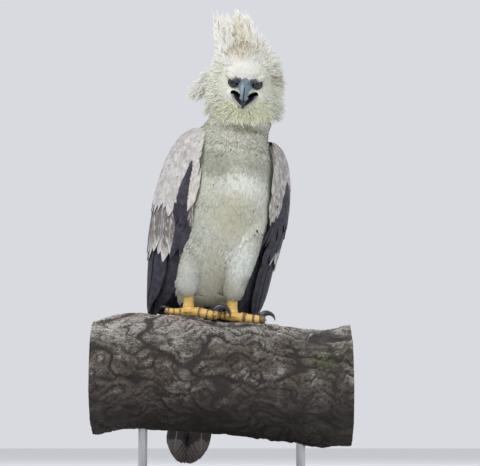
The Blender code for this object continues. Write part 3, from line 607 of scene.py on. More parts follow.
@dataclass(frozen=True)
class BillHorn:
    """Blue-grey horn with a black ridge and hook, and the slate cere."""

    flank: Colour = (0.150, 0.215, 0.270)
    ridge: Colour = (0.012, 0.015, 0.022)
    cere: Colour = (0.075, 0.100, 0.130)
    bloom: Colour = (0.20, 0.26, 0.31)
    painted_highlight: Colour = (0.330, 0.400, 0.450)
    under: Colour = (0.085, 0.100, 0.130)
    lilac: Colour = (0.400, 0.370, 0.440)
    inside: Colour = (0.020, 0.012, 0.016)

    def material(self) -> bpy.types.Material:
        """The horn, its colours placed in the face's own frame by the mesh's mark.

        Returns:
            The material.
        """
        recipe = Recipe("bill_horn")
        across, _, up = recipe.parts(recipe.mark("mark"))
        place = recipe.place()
        grain = recipe.noise(place, 520.0, 3.0)
        broad = recipe.noise(place, 130.0, 2.0).step(0.35, 0.65)
        colour = recipe.mix(broad * 0.5, self.flank, self.cere)
        cere = up.step(-0.002, 0.008)
        colour = recipe.mix(cere * 0.85, colour, self.cere)
        colour = recipe.mix((cere * grain).step(0.45, 0.60) * 0.4, colour, self.bloom)
        # Painted highlight: a pale streak down one flank of the bill.
        light = abs(across + 0.006).step(0.0050, 0.0010)
        light = light * up.step(-0.030, -0.008) * up.step(0.012, 0.0)
        colour = recipe.mix(light * 0.55, colour, self.painted_highlight)
        ridge = abs(across).step(0.0030, 0.0008) * up.step(0.004, -0.006)
        colour = recipe.mix(ridge, colour, self.ridge)
        hook = up.step(-0.028, -0.042)
        colour = recipe.mix(hook, colour, self.ridge)
        rough = 0.34 + broad * 0.16 + cere * 0.14
        normal = recipe.bump(grain, 0.0006, 0.35)
        return recipe.finish(Base_Color=colour, Roughness=rough, Normal=normal)

    def lower(self) -> bpy.types.Material:
        """The lower half, with its pale lilac cutting edge.

        Returns:
            The material.
        """
        recipe = Recipe("bill_lower_horn")
        rim, _, up = recipe.parts(recipe.mark("mark"))
        place = recipe.place()
        grain = recipe.noise(place, 400.0, 3.0)
        colour = recipe.mix(grain.step(0.35, 0.7) * 0.5, self.under, self.cere)
        edge = rim.step(0.72, 0.93) * up.step(-0.10, 0.02)
        colour = recipe.mix(edge * 0.85, colour, self.lilac)
        inside = rim.step(0.82, 0.62) * up.step(0.05, 0.15)
        colour = recipe.mix(inside, colour, self.inside)
        normal = recipe.bump(grain, 0.0005, 0.3)
        return recipe.finish(Base_Color=colour, Roughness=0.38, Normal=normal)


@dataclass(frozen=True)
class MouthSkin:
    """The wet dark skin of the tongue."""

    dark: Colour = (0.020, 0.010, 0.013)
    pink: Colour = (0.060, 0.030, 0.038)

    def material(self) -> bpy.types.Material:
        """The skin, faintly mottled.

        Returns:
            The material.
        """
        recipe = Recipe("mouth_skin")
        mottle = recipe.noise(recipe.place(), 500.0)
        colour = recipe.mix(mottle, self.dark, self.pink)
        return recipe.finish(Base_Color=colour, Roughness=0.4)


@dataclass(frozen=True)
class EyeGloss:
    """A dark iris round a black pupil under a wet cornea."""

    iris: Colour = (0.024, 0.029, 0.034)
    pupil: Colour = (0.002, 0.002, 0.003)
    fleck: Colour = (0.040, 0.044, 0.050)
    lid: Colour = (0.018, 0.020, 0.026)
    lid_fold: Colour = (0.075, 0.085, 0.100)

    def material(self) -> bpy.types.Material:
        """The eyeball, its mark's first number the distance from its axis, from 0 to 1.

        Returns:
            The material.
        """
        recipe = Recipe("eye_gloss")
        away, turn, _ = recipe.parts(recipe.mark("mark"))
        rays = (turn * 60.0).sine() * 0.5 + 0.5
        rays = rays * recipe.noise(recipe.place(), 900.0, 2.0)
        colour = recipe.mix(rays * 0.6, self.iris, self.fleck)
        colour = recipe.mix(away.step(0.44, 0.36), colour, self.pupil)
        colour = recipe.mix(away.step(0.70, 0.80), colour, self.pupil)
        return recipe.finish(
            Base_Color=colour, Roughness=0.10, Coat_Weight=0.5, Coat_Roughness=0.02, IOR=1.36
        )

    def rim(self) -> bpy.types.Material:
        """The bare dark skin of the lids.

        Returns:
            The material.
        """
        recipe = Recipe("lid_skin")
        folds = recipe.noise(recipe.place(), 700.0, 3.0)
        colour = recipe.mix(folds.step(0.35, 0.7), self.lid, self.lid_fold)
        normal = recipe.bump(folds, 0.0008, 0.6)
        return recipe.finish(Base_Color=colour, Roughness=0.55, Normal=normal)


@dataclass(frozen=True)
class FootScale:
    """Yellow scaled skin with dark creases at the joints."""

    yellow: Colour = (0.700, 0.400, 0.075)
    pale: Colour = (0.820, 0.640, 0.280)
    crease: Colour = (0.060, 0.048, 0.050)
    between: Colour = (0.330, 0.170, 0.045)

    def material(self) -> bpy.types.Material:
        """The skin, where the mark holds the scute's edge, the joints' dirt and the top.

        Returns:
            The material.
        """
        recipe = Recipe("foot_scale")
        groove, dirt, top = recipe.parts(recipe.mark("mark"))
        place = recipe.place()
        fine = recipe.noise(place, 260.0, 3.0).step(0.35, 0.68)
        grain = recipe.cells(place, 420.0)
        colour = recipe.mix(fine * 0.7, self.yellow, self.pale)
        colour = recipe.mix(groove * 0.26, colour, self.between)
        stain = (dirt + (fine - 0.5) * 0.5).step(0.42, 0.78)
        colour = recipe.mix(stain * 0.88, colour, self.crease)
        normal = recipe.bump(grain * (1.2 - top), 0.0009, 0.7)
        return recipe.finish(Base_Color=colour, Roughness=0.48, Normal=normal)


@dataclass(frozen=True)
class ClawHorn:
    """Black horn, glossy on the curve and dull at its base."""

    black: Colour = (0.010, 0.010, 0.014)
    wear_and_shade: Colour = (0.075, 0.075, 0.085)

    def material(self) -> bpy.types.Material:
        """The horn, with streaks along each claw.

        Returns:
            The material.
        """
        recipe = Recipe("claw_horn")
        along, turn, _ = recipe.parts(recipe.mark("mark"))
        streak = recipe.noise(recipe.place(), 300.0, 3.0)
        colour = recipe.mix(streak.step(0.45, 0.75) * 0.7, self.black, self.wear_and_shade)
        rough = 0.20 + streak * 0.22
        lines = (turn * 14.0).sine() * 0.5 + 0.5
        normal = recipe.bump(streak * 0.7 + lines * along * 0.2, 0.0005, 0.4)
        return recipe.finish(
            Base_Color=colour, Roughness=rough, Coat_Weight=0.35, Normal=normal
        )


@dataclass(frozen=True)
class BarkFinish:
    """Weathered bark: grey-brown plates, red-brown where worn, moss, and sawn ends, with painted
    sunlight on its top and painted shade underneath and deep in its fissures.
    """

    grey: Colour = (0.175, 0.150, 0.118)
    brown: Colour = (0.050, 0.036, 0.027)
    rust: Colour = (0.250, 0.110, 0.080)
    # Pale lichen, also the colour of the painted sunlight on the top.
    lichen_and_painted_light: Colour = (0.560, 0.530, 0.485)
    moss: Colour = (0.075, 0.110, 0.030)
    moss_middle: Place = (0.245, -0.10, 0.300)
    moss_radii: Place = (0.075, 0.09, 0.055)
    # Painted shade for the limb's underside.
    below: Colour = (0.022, 0.018, 0.017)
    crack: Colour = (0.020, 0.015, 0.014)
    fibre: Colour = (0.035, 0.027, 0.024)
    flake: Colour = (0.024, 0.018, 0.016)
    pith: Place = (0.0, 0.0, 0.262)
    early_wood: Colour = (0.330, 0.235, 0.150)
    late_wood: Colour = (0.200, 0.130, 0.078)
    stain: Colour = (0.160, 0.115, 0.080)
    heart: Colour = (0.110, 0.066, 0.042)
    rind: Colour = (0.090, 0.062, 0.046)

    def material(self) -> bpy.types.Material:
        """The bark, where the mark holds crack depth, the plate's tone and the sawn face.

        Returns:
            The material.
        """
        recipe = Recipe("bark_plates")
        crack, plate, sawn = recipe.parts(recipe.mark("mark"))
        place = recipe.place()
        along, depth, high = recipe.parts(place)
        stretched = recipe.vector("MULTIPLY", place, (0.35, 1.0, 1.0))
        fibre = recipe.noise(stretched, 330.0, 5.0, 0.65)
        patchy = recipe.noise(place, 16.0, 4.0, 0.6)
        colour = recipe.mix(plate, self.brown, self.grey)
        colour = recipe.mix((patchy + fibre * 0.5).step(0.72, 0.98) * 0.55, colour, self.lichen_and_painted_light)
        slant = recipe.vector("MULTIPLY", place, (0.55, 1.0, 1.0))
        flake = recipe.noise(slant, 120.0, 5.0, 0.7)
        broad = recipe.noise(recipe.vector("MULTIPLY", place, (0.5, 1.0, 1.0)), 42.0, 4.0, 0.65)
        colour = recipe.mix(broad.step(0.56, 0.40) * 0.55, colour, self.brown)
        # Painted sunlight on the limb's top, a little stronger towards -X, mixed with the pale
        # lichen there.
        sunlit = high.step(DATUM - 0.095, DATUM - 0.010)
        pale = (fibre + plate * 0.3 + along.step(0.05, -0.15) * 0.08).step(0.48, 0.76)
        colour = recipe.mix(pale * sunlit * 0.85, colour, self.lichen_and_painted_light)
        crown = high.step(DATUM - 0.050, DATUM - 0.004) * depth.step(0.03, -0.05)
        rust = (patchy * 0.6 + plate * 0.5).step(0.50, 0.78) * crown
        colour = recipe.mix(rust * 0.75, colour, self.rust)
        # Painted shade: the limb darker on its underside.
        below = high.step(DATUM - 0.12, DATUM - 0.26)
        colour = recipe.mix(below * 0.85, colour, self.below)
        spot = recipe.reach(place, self.moss_middle, self.moss_radii)
        green = (spot + fibre * 0.9).step(1.35, 0.75) * (1.0 - crack * 0.4)
        colour = recipe.mix(green * 0.55, colour, self.moss)
        # The fissures darker: their own inner bark, with painted shade deep in them.
        colour = recipe.mix(crack.step(0.22, 0.85) * 0.9, colour, self.crack)
        colour = recipe.mix(fibre.step(0.56, 0.32) * 0.60, colour, self.fibre)
        colour = recipe.mix(flake.step(0.47, 0.36) * 0.80, colour, self.flake)
        wood, grain = self._sawn_wood(recipe, place, patchy)
        colour = recipe.mix(sawn, colour, wood)
        height = (fibre * 0.6 + flake * 0.9) * (1.0 - sawn * 0.8) + grain * sawn * 0.2
        normal = recipe.bump(height, 0.006, 0.85)
        return recipe.finish(Base_Color=colour, Roughness=0.88, Normal=normal)

    def _sawn_wood(self, recipe: Recipe, place: Wire, patchy: Wire) -> tuple[Wire, Wire]:
        """The sawn faces, with rings round the pith.

        Args:
            recipe: The tree they go in.
            place: Where they are read.
            patchy: Broad noise, which bends the rings and stains the wood.

        Returns:
            The colour, and the rings from 0 to 1.
        """
        ring = recipe.reach(place, self.pith, (1e3, 1.0, 1.0))
        grain = ((ring + patchy * 0.012) * 1150.0).sine() * 0.5 + 0.5
        wood = recipe.mix(grain * 0.55, self.early_wood, self.late_wood)
        wood = recipe.mix(patchy.step(0.45, 0.65) * 0.45, wood, self.stain)
        wood = recipe.mix(ring.step(0.034, 0.012) * 0.6, wood, self.heart)
        wood = recipe.mix(ring.step(0.128, 0.146) * 0.8, wood, self.rind)
        return wood, grain


@dataclass(frozen=True)
class StandFinish:
    """Dark oiled wood for the base and brushed steel for the rods."""

    wood: Colour = (0.045, 0.032, 0.026)
    grain: Colour = (0.120, 0.083, 0.062)
    pore: Colour = (0.018, 0.012, 0.010)
    steel: Colour = (0.520, 0.530, 0.545)
    brushed: Colour = (0.36, 0.37, 0.38)

    def base(self) -> bpy.types.Material:
        """Wood with grain along its length.

        Returns:
            The material.
        """
        recipe = Recipe("stand_wood")
        place = recipe.place()
        long = recipe.vector("MULTIPLY", place, (0.06, 1.0, 1.0))
        bands = recipe.noise(long, 60.0, 4.0, 0.6)
        pores = recipe.noise(long, 420.0, 3.0, 0.6)
        colour = recipe.mix(bands.step(0.36, 0.66), self.wood, self.grain)
        colour = recipe.mix(pores.step(0.56, 0.70) * 0.6, colour, self.pore)
        normal = recipe.bump(pores, 0.0006, 0.4)
        return recipe.finish(Base_Color=colour, Roughness=0.36 + bands * 0.16, Normal=normal)

    def rod(self) -> bpy.types.Material:
        """Steel with fine lines round the rod.

        Returns:
            The material.
        """
        recipe = Recipe("stand_steel")
        flat = recipe.vector("MULTIPLY", recipe.place(), (0.2, 0.2, 9.0))
        lines = recipe.noise(flat, 240.0, 3.0)
        colour = recipe.mix(lines * 0.4, self.steel, self.brushed)
        normal = recipe.bump(lines, 0.0002, 0.4)
        return recipe.finish(
            Base_Color=colour, Metallic=1.0, Roughness=0.26 + lines * 0.16, Normal=normal
        )


# Meshes


def object_of(name: str, mesh: bpy.types.Mesh) -> bpy.types.Object:
    """Links an object of a mesh into the scene.

    Args:
        name: The object's name.
        mesh: Its mesh.

    Returns:
        The object.
    """
    made = bpy.data.objects.new(name, mesh)
    bpy.context.scene.collection.objects.link(made)
    return made


def dressed(
    piece: bpy.types.Object, finish: bpy.types.Material, nodes: Sequence[str]
) -> bpy.types.Object:
    """Gives a piece its finish, hangs it under the root and hides the CAD nodes it stands for.

    Args:
        piece: The object.
        finish: Its material.
        nodes: CAD nodes that it replaces.

    Returns:
        The same object.
    """
    piece.data.materials.clear()
    piece.data.materials.append(finish)
    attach(piece, "root")
    if nodes:
        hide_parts(*nodes)
    log.info("%s: %d faces", piece.name, len(piece.data.polygons))
    return piece


def ellipses(
    path: Array, across: Array, up: Array, wide: Array, high: Array, sides: int
) -> Array:
    """The rings of a tube along a path, as wide and as high as is given at each place.

    Args:
        path: Points along its middle.
        across: The way across at each of them.
        up: The way up at each of them.
        wide: Half its width at each.
        high: Half its height at each.
        sides: Points round it.

    Returns:
        Points as an array of (ring, side, 3).
    """
    turns = around(sides)
    return (
        path[:, None]
        + across[:, None] * (wide[:, None] * np.cos(turns))[..., None]
        + up[:, None] * (high[:, None] * np.sin(turns))[..., None]
    )


def loft(name: str, rings: Array, capped: bool = True) -> bpy.types.Object:
    """A closed tube through rings of points.

    Args:
        name: The object's name.
        rings: Points as an array of (ring, side, 3).
        capped: Whether the two open ends are filled.

    Returns:
        The object.
    """
    count, sides = rings.shape[:2]
    shape = bmesh.new()
    bmesh.ops.create_grid(shape, x_segments=sides, y_segments=count - 1, size=1.0)
    shape.verts.ensure_lookup_table()
    wrapped = np.concatenate((rings, rings[:, :1]), axis=1).reshape(-1, 3)
    for vert, place in zip(shape.verts, wrapped):
        vert.co = place
    bmesh.ops.remove_doubles(shape, verts=shape.verts, dist=1e-6)
    if capped:
        rims = [e for e in shape.edges if e.is_boundary]
        bmesh.ops.holes_fill(shape, edges=rims, sides=0)
    bmesh.ops.recalc_face_normals(shape, faces=shape.faces)
    if shape.calc_volume(signed=True) < 0:
        bmesh.ops.reverse_faces(shape, faces=shape.faces)
    mesh = bpy.data.meshes.new(name)
    shape.to_mesh(mesh)
    shape.free()
    mesh.shade_smooth()
    return object_of(name, mesh)


def ball(name: str, place: Matrix, radii: Place, fine: int = 24) -> bpy.types.Object:
    """A smooth closed ellipsoid.

    Args:
        name: The object's name.
        place: The frame it is made in.
        radii: Its radii along that frame's axes.
        fine: Number of segments round it.

    Returns:
        The object.
    """
    shape = bmesh.new()
    turn = place @ Matrix.Diagonal((*radii, 1.0))
    bmesh.ops.create_uvsphere(
        shape, u_segments=fine, v_segments=fine // 2, radius=1.0, matrix=turn
    )
    mesh = bpy.data.meshes.new(name)
    shape.to_mesh(mesh)
    shape.free()
    mesh.shade_smooth()
    return object_of(name, mesh)


def applied(thing: bpy.types.Object) -> bpy.types.Object:
    """Gives an object its evaluated mesh and drops its modifiers.

    Args:
        thing: The object.

    Returns:
        The same object.
    """
    graph = bpy.context.evaluated_depsgraph_get()
    mesh = bpy.data.meshes.new_from_object(thing.evaluated_get(graph))
    thing.modifiers.clear()
    thing.data = mesh
    return thing


def united(
    name: str, parts: Sequence[bpy.types.Object], voxel: float, rounds: int
) -> bpy.types.Object:
    """Makes one smooth closed surface round several closed objects, which are removed.

    Args:
        name: The object's name.
        parts: The closed objects.
        voxel: Size of the remesh.
        rounds: How often it is smoothed.

    Returns:
        The object.
    """
    shape = bmesh.new()
    for part in parts:
        shape.from_mesh(part.data)
        bpy.data.objects.remove(part)
    mesh = bpy.data.meshes.new(name)
    shape.to_mesh(mesh)
    shape.free()
    made = object_of(name, mesh)
    skin = made.modifiers.new("one_skin", "REMESH")
    skin.mode = "VOXEL"
    skin.voxel_size = voxel
    skin.use_smooth_shade = True
    applied(made)
    shape = bmesh.new()
    shape.from_mesh(made.data)
    for _ in range(rounds):
        bmesh.ops.smooth_vert(
            shape, verts=shape.verts, factor=0.5, use_axis_x=True, use_axis_y=True, use_axis_z=True
        )
    shape.to_mesh(made.data)
    shape.free()
    made.data.shade_smooth()
    return made


def places_of(mesh: bpy.types.Mesh) -> Array:
    """The places of a mesh's points.

    Args:
        mesh: The mesh.

    Returns:
        Their places, (point, 3).
    """
    flat = np.empty(len(mesh.vertices) * 3)
    mesh.vertices.foreach_get("co", flat)
    return flat.reshape(-1, 3)


def lay_mark(mesh: bpy.types.Mesh, name: str, values: Array) -> None:
    """Stores a vector on every point of a mesh."""
    layer = mesh.attributes.new(name, "FLOAT_VECTOR", "POINT")
    layer.data.foreach_set("vector", np.ascontiguousarray(values, dtype=np.float32).ravel())


@dataclass(frozen=True)
class Sheaf:
    """A closed leaf of a few rows and columns, which many feathers share.

    Its top has the columns given; its underside has one point between the rims, or as many
    as the top where it is a stiff vane.
    """

    rows: int
    columns: int
    stiff: bool = False

    def grid(self) -> tuple[Array, Array]:
        """The share along and the place across of every top point.

        Returns:
            Two arrays of (row, column).
        """
        along = np.linspace(0.0, 1.0, self.rows)
        across = np.linspace(-1.0, 1.0, self.columns)
        return np.meshgrid(along, across, indexing="ij")

    def under_columns(self) -> list[int]:
        """The top's columns below which the underside has a point of its own."""
        inner = range(1, self.columns - 1)
        return list(inner) if self.stiff else [self.columns // 2]

    def between(self, top: Array) -> Array:
        """The places of the top that the underside lies below.

        Args:
            top: The top's points, (..., row, column, 3).

        Returns:
            Their part over the under columns, or their middle for a leaf of two columns.
        """
        if self.columns == 2:
            return top.mean(axis=-2, keepdims=True)
        return top[..., self.under_columns(), :]

    def faces(self) -> list[tuple[int, ...]]:
        """The faces of one leaf, over its top points followed by its underside's.

        Returns:
            Point numbers of each face, the two end faces last.
        """
        wide = self.columns
        low = self.under_columns()
        below = self.rows * wide

        def under(r: int) -> list[int]:
            """The underside's points in a row, from rim to rim."""
            inner = [below + r * len(low) + k for k in range(len(low))]
            return [r * wide, *inner, r * wide + wide - 1]

        made: list[tuple[int, ...]] = []
        for r in range(self.rows - 1):
            for c in range(wide - 1):
                a = r * wide + c
                made.append((a, a + 1, a + 1 + wide, a + wide))
            here, ahead = under(r), under(r + 1)
            for k in range(len(here) - 1):
                made.append((here[k], ahead[k], ahead[k + 1], here[k + 1]))
        for r in (0, self.rows - 1):
            loop = [r * wide + c for c in range(wide)] + under(r)[-2:0:-1]
            made.append(tuple(reversed(loop)) if r == 0 else tuple(loop))
        return made


@dataclass
class Flock:
    """Many closed leaves as one mesh, with the marks that their finish reads."""

    name: str
    leaf: Sheaf
    top: list[Array] = field(default_factory=list)
    under: list[Array] = field(default_factory=list)
    roots: list[Array] = field(default_factory=list)
    tones: list[Array] = field(default_factory=list)
    patches: list[Array] = field(default_factory=list)
    marks: list[Array] = field(default_factory=list)
    facings: list[Array] = field(default_factory=list)
    soft: float = 0.7

    def add(
        self,
        top: Array,
        under: Array,
        roots: Array,
        tones: Array,
        patches: Array,
        marks: Any = None,
        facing: Any = None,
    ) -> None:
        """Adds leaves.

        Args:
            top: Top points, (leaf, row, column, 3).
            under: Underside points over the leaf's under columns, (leaf, row, column, 3).
            roots: Where each leaf grows, (leaf, 3).
            tones: A value of its own for each leaf.
            patches: Lower corner and size of its patch in the bake map, (leaf, 4).
            marks: Further vector on every top point, (leaf, row, column, 3), if any.
            facing: The way the coat as a whole looks there, (leaf, row, column, 3), if any.
        """
        self.top.append(top)
        self.under.append(under)
        self.roots.append(roots)
        self.tones.append(tones)
        self.patches.append(patches)
        if marks is not None:
            self.marks.append(marks)
        if facing is not None:
            self.facings.append(np.broadcast_to(facing, top.shape))

    def mesh(self) -> bpy.types.Object:
        """Joins the leaves into one object.

        Returns:
            The object.
        """
        top, under = np.concatenate(self.top), np.concatenate(self.under)
        roots, tones = np.concatenate(self.roots), np.concatenate(self.tones)
        patches = np.concatenate(self.patches)
        count = len(top)
        low = self.leaf.under_columns()
        points = np.concatenate(
            (top.reshape(count, -1, 3), under.reshape(count, -1, 3)), axis=1
        )
        along, across = self.leaf.grid()
        along = np.concatenate((along.ravel(), along[:, low].ravel()))
        across = np.concatenate((across.ravel(), across[:, low].ravel()))
        faces = self.leaf.faces()
        if self._inside_out(points[0], faces):
            faces = [tuple(reversed(f)) for f in faces]
        corners = np.concatenate([np.array(f) for f in faces])
        sizes = np.array([len(f) for f in faces])
        each = points.shape[1]
        every = (corners[None, :] + (np.arange(count) * each)[:, None]).ravel()
        totals = np.tile(sizes, count)
        mesh = bpy.data.meshes.new(self.name)
        mesh.vertices.add(count * each)
        mesh.vertices.foreach_set("co", points.astype(np.float32).ravel())
        mesh.loops.add(len(every))
        mesh.loops.foreach_set("vertex_index", every.astype(np.int32))
        mesh.polygons.add(len(totals))
        starts = np.concatenate(((0,), np.cumsum(totals)[:-1]))
        mesh.polygons.foreach_set("loop_start", starts.astype(np.int32))
        mesh.update(calc_edges=True)
        mesh.validate()
        lay = np.stack(
            (np.tile(along, count), np.tile(across, count), np.repeat(tones, each)), axis=1
        )
        lay_mark(mesh, "lay", lay)
        lay_mark(mesh, "root", np.repeat(roots, each, axis=0))
        if self.marks:
            marks = np.concatenate(self.marks)
            joined = np.concatenate(
                (marks.reshape(count, -1, 3), marks[:, :, low].reshape(count, -1, 3)), axis=1
            )
            lay_mark(mesh, "mark", joined.reshape(-1, 3))
        bake = mesh.uv_layers.new(name=BAKE_MAP)
        spread = np.stack(((across + 1) / 2, along), axis=1)
        spots = patches[:, None, :2] + patches[:, None, 2:] * spread[None]
        bake.data.foreach_set("uv", spots.reshape(-1, 2)[every].astype(np.float32).ravel())
        mesh.shade_smooth()
        if self.facings:
            self._soften(mesh, faces, every)
        return object_of(self.name, mesh)

    def _soften(self, mesh: bpy.types.Mesh, faces: list[tuple[int, ...]], corners: Array) -> None:
        """Turns the upper sides' normals towards the coat's own, so that it looks soft.

        Args:
            mesh: The joined leaves.
            faces: The faces of one leaf.
            corners: The point at each corner of every face.
        """
        facing = np.concatenate(self.facings)
        count = len(facing)
        upper = facing.shape[1] * facing.shape[2]
        each = len(mesh.vertices) // count
        both = np.zeros((count, each, 3))
        both[:, :upper] = facing.reshape(count, upper, 3)
        own = np.empty(len(mesh.vertices) * 3, dtype=np.float32)
        mesh.vertices.foreach_get("normal", own)
        mixed = unit(both.reshape(-1, 3) * self.soft + own.reshape(-1, 3) * (1 - self.soft))
        flat = np.empty(len(mesh.polygons) * 3, dtype=np.float32)
        mesh.polygons.foreach_get("normal", flat)
        sizes = np.tile([len(f) for f in faces], count)
        shown = [max(f) < upper or k >= len(faces) - 2 for k, f in enumerate(faces)]
        above = np.tile(np.repeat(shown, [len(f) for f in faces]), count)
        flat = np.repeat(flat.reshape(-1, 3), sizes, axis=0)
        mesh.normals_split_custom_set(np.where(above[:, None], mixed[corners], flat))

    @staticmethod
    def _inside_out(points: Array, faces: list[tuple[int, ...]]) -> bool:
        """Whether the faces of a leaf look inwards.

        Args:
            points: The leaf's points.
            faces: Its faces.

        Returns:
            True where they have to be turned round.
        """
        volume = 0.0
        middle = points - points.mean(axis=0)
        for face in faces:
            for k in range(1, len(face) - 1):
                a, b, c = middle[[face[0], face[k], face[k + 1]]]
                volume += float(np.dot(a, np.cross(b, c)))
        return volume < 0


# Body


@dataclass
class Body:
    """The trunk, neck, head and legs below their feathers.

    Rows of the form are (height, middle, half width, depth in front, depth behind), those of
    the brow are (across, depth, height, radius), and the gape is its middle and its radii.
    """

    rings: int = 74
    sides: int = 80
    voxel: float = 0.0040
    form: Curve = Curve(
        (
            (0.010, 0.086, 0.030, 0.032, 0.030),
            (0.030, 0.080, 0.056, 0.058, 0.046),
            (0.070, 0.066, 0.085, 0.086, 0.068),
            (0.120, 0.054, 0.106, 0.102, 0.086),
            (0.180, 0.043, 0.121, 0.114, 0.097),
            (0.240, 0.035, 0.128, 0.121, 0.102),
            (0.300, 0.029, 0.129, 0.121, 0.103),
            (0.360, 0.024, 0.121, 0.110, 0.099),
            (0.410, 0.019, 0.106, 0.093, 0.089),
            (0.450, 0.013, 0.087, 0.076, 0.076),
            (0.478, 0.009, 0.077, 0.066, 0.068),
            (0.507, 0.006, 0.075, 0.063, 0.067),
            (0.535, 0.003, 0.078, 0.062, 0.072),
            (0.565, 0.002, 0.079, 0.061, 0.077),
            (0.597, 0.002, 0.073, 0.057, 0.077),
            (0.622, 0.004, 0.062, 0.049, 0.070),
            (0.643, 0.006, 0.046, 0.036, 0.055),
            (0.656, 0.008, 0.028, 0.022, 0.034),
            (0.663, 0.010, 0.010, 0.008, 0.012),
        )
    )
    brow_ridge: tuple[tuple[float, float, float, float], ...] = (
        (0.013, -0.060, 0.0085, 0.0035),
        (0.022, -0.067, 0.0120, 0.0054),
        (0.034, -0.065, 0.0188, 0.0058),
        (0.048, -0.049, 0.0255, 0.0042),
    )
    gape: tuple[Place, Place] = ((0.0200, -0.055, -0.0245), (0.0150, 0.030, 0.0086))
    gape_slant: float = 29.0
    ends: tuple[float, float] = (0.013, 0.660)
    neck: tuple[float, float] = (0.44, 0.51)
    squareness: float = 2.25

    def gape_frame(self, side: Side) -> Matrix:
        """The frame of one half of the open gape, scaled so that its wall has radius 1.

        Args:
            side: Which half.

        Returns:
            The frame.
        """
        (x, y, z), radii = self.gape
        turn = Matrix.Rotation(-side.value * math.radians(self.gape_slant), 4, "Y")
        place = Matrix.Translation((side.value * x, y, z))
        return FACE @ place @ turn @ Matrix.Diagonal((*radii, 1.0))

    def gape_reach(self, points: Array) -> Array:
        """How far points are from the gape's middle, where 1 is on its wall."""
        found = [into(self.gape_frame(side), points) for side in Side]
        return np.min([np.linalg.norm(near, axis=1) for near in found], axis=0)

    def frame_at(self, height: float) -> Matrix:
        """The frame of the body's cross-section at a height along its spine.

        Args:
            height: The height.

        Returns:
            The frame, which turns from the trunk's to the head's in the neck.
        """
        share = float(eased(*self.neck, height))
        low = TRUNK @ Vector((0, 0, height))
        high = HEAD @ Vector((0, 0, height - HEAD_RISE))
        turn = TRUNK.to_quaternion().slerp(HEAD.to_quaternion(), share)
        return Matrix.Translation(low.lerp(high, share)) @ turn.to_matrix().to_4x4()

    def ring(self, height: float, turns: Array, grow: Any) -> Array:
        """Points round the body at a height, at angles from the front towards its left.

        Args:
            height: Height along the spine.
            turns: The angles.
            grow: How far out of the form, one number or one for each angle.

        Returns:
            The points in the world.
        """
        middle, half, front, behind = self.form.at(height)
        across, along = np.sin(turns), -np.cos(turns)
        depth = np.where(along < 0, front, behind) + grow
        power = self.squareness
        boxy = (np.abs(across) ** power + np.abs(along) ** power) ** (-1 / power)
        flat = np.stack(
            (across * boxy * (half + grow), middle + along * boxy * depth, 0 * across), axis=1
        )
        return carry(self.frame_at(height), flat)

    def coat_depth(self, height: float, turns: Array) -> Array:
        """How far the skin lies inside the CAD form, less on the face.

        Args:
            height: Height along the spine.
            turns: Angles from the front towards its left.

        Returns:
            The depth at each angle.
        """
        front = eased(1.35, 0.75, np.abs(turns))
        face = front * eased(0.520, 0.548, height)
        crown = eased(0.60, 0.655, height)
        body = 0.0062 - 0.0004 * eased(0.46, 0.52, height)
        flank = eased(-0.42, -0.74, turns) * eased(0.06, 0.13, height)
        flank = flank * eased(0.43, 0.36, height) * 0.0125
        return body * (1 - 0.62 * face) * (1 - 0.45 * crown) + flank

    def spine_place(self, points: Array) -> tuple[Array, Array]:
        """Where points are along and round the body.

        Args:
            points: World points.

        Returns:
            Heights along the spine, and angles from the front towards the body's left.
        """
        low, high = into(TRUNK, points), into(HEAD, points)
        high = high + np.array((0, 0, HEAD_RISE))
        share = eased(*self.neck, low[:, 2])[:, None]
        mid = low * (1 - share) + high * share
        middle = self.form.at(mid[:, 2])[:, 0]
        return mid[:, 2], np.arctan2(mid[:, 0], -(mid[:, 1] - middle))

    def tube(self, name: str, path: Array, radii: Array, sides: int = 20) -> bpy.types.Object:
        """A closed round tube along a path.

        Args:
            name: The object's name.
            path: Points along its middle.
            radii: Its radius at each.
            sides: Points round it.

        Returns:
            The object.
        """
        ahead = unit(np.gradient(path, axis=0))
        side = unit(np.cross(ahead, np.array((0.0, 1.0, 0.05))))
        up = np.cross(side, ahead)
        return loft(name, ellipses(path, side, up, radii, radii, sides))

    def build(self, legs: Sequence["Leg"]) -> bpy.types.Object:
        """One skin over trunk, neck, head and legs, hollowed behind the open bill.

        Args:
            legs: The two legs.

        Returns:
            The skin.
        """
        turns = around(self.sides)
        seen = np.where(turns > math.pi, turns - 2 * math.pi, turns)
        heights = np.linspace(*self.ends, self.rings)
        rings = [self.ring(h, turns, -self.coat_depth(h, seen)) for h in heights[:-1]]
        parts = [loft("trunk", np.stack(rings))]
        for side in Side:
            ridge = np.array(self.brow_ridge)
            places = carry(FACE, ridge[:, :3] * np.array((side.value, 1, 1)))
            parts.append(self.tube("brow", places, ridge[:, 3]))
        for leg in legs:
            places, radii = leg.axis(26)
            inside = leg.depth(np.linspace(0, 1, len(places)))
            parts.append(self.tube("leg", places, radii - inside))
        skin = united("skin", parts, self.voxel, 3)
        for side in Side:
            hollow = ball("gape", self.gape_frame(side), (1.0, 1.0, 1.0), 32)
            cut = skin.modifiers.new("mouth", "BOOLEAN")
            cut.operation, cut.object, cut.solver = "DIFFERENCE", hollow, "EXACT"
            applied(skin)
            bpy.data.objects.remove(hollow)
        skin.data.shade_smooth()
        reach = self.gape_reach(places_of(skin.data))
        inside = 1.0 / np.maximum(reach, 0.1)
        lay_mark(skin.data, "mark", np.stack((inside, 0 * inside, 0 * inside), axis=1))
        nodes = ["torso", "neck", "head", "leg_right", "leg_left"]
        return dressed(skin, Plumage().skin(), nodes)


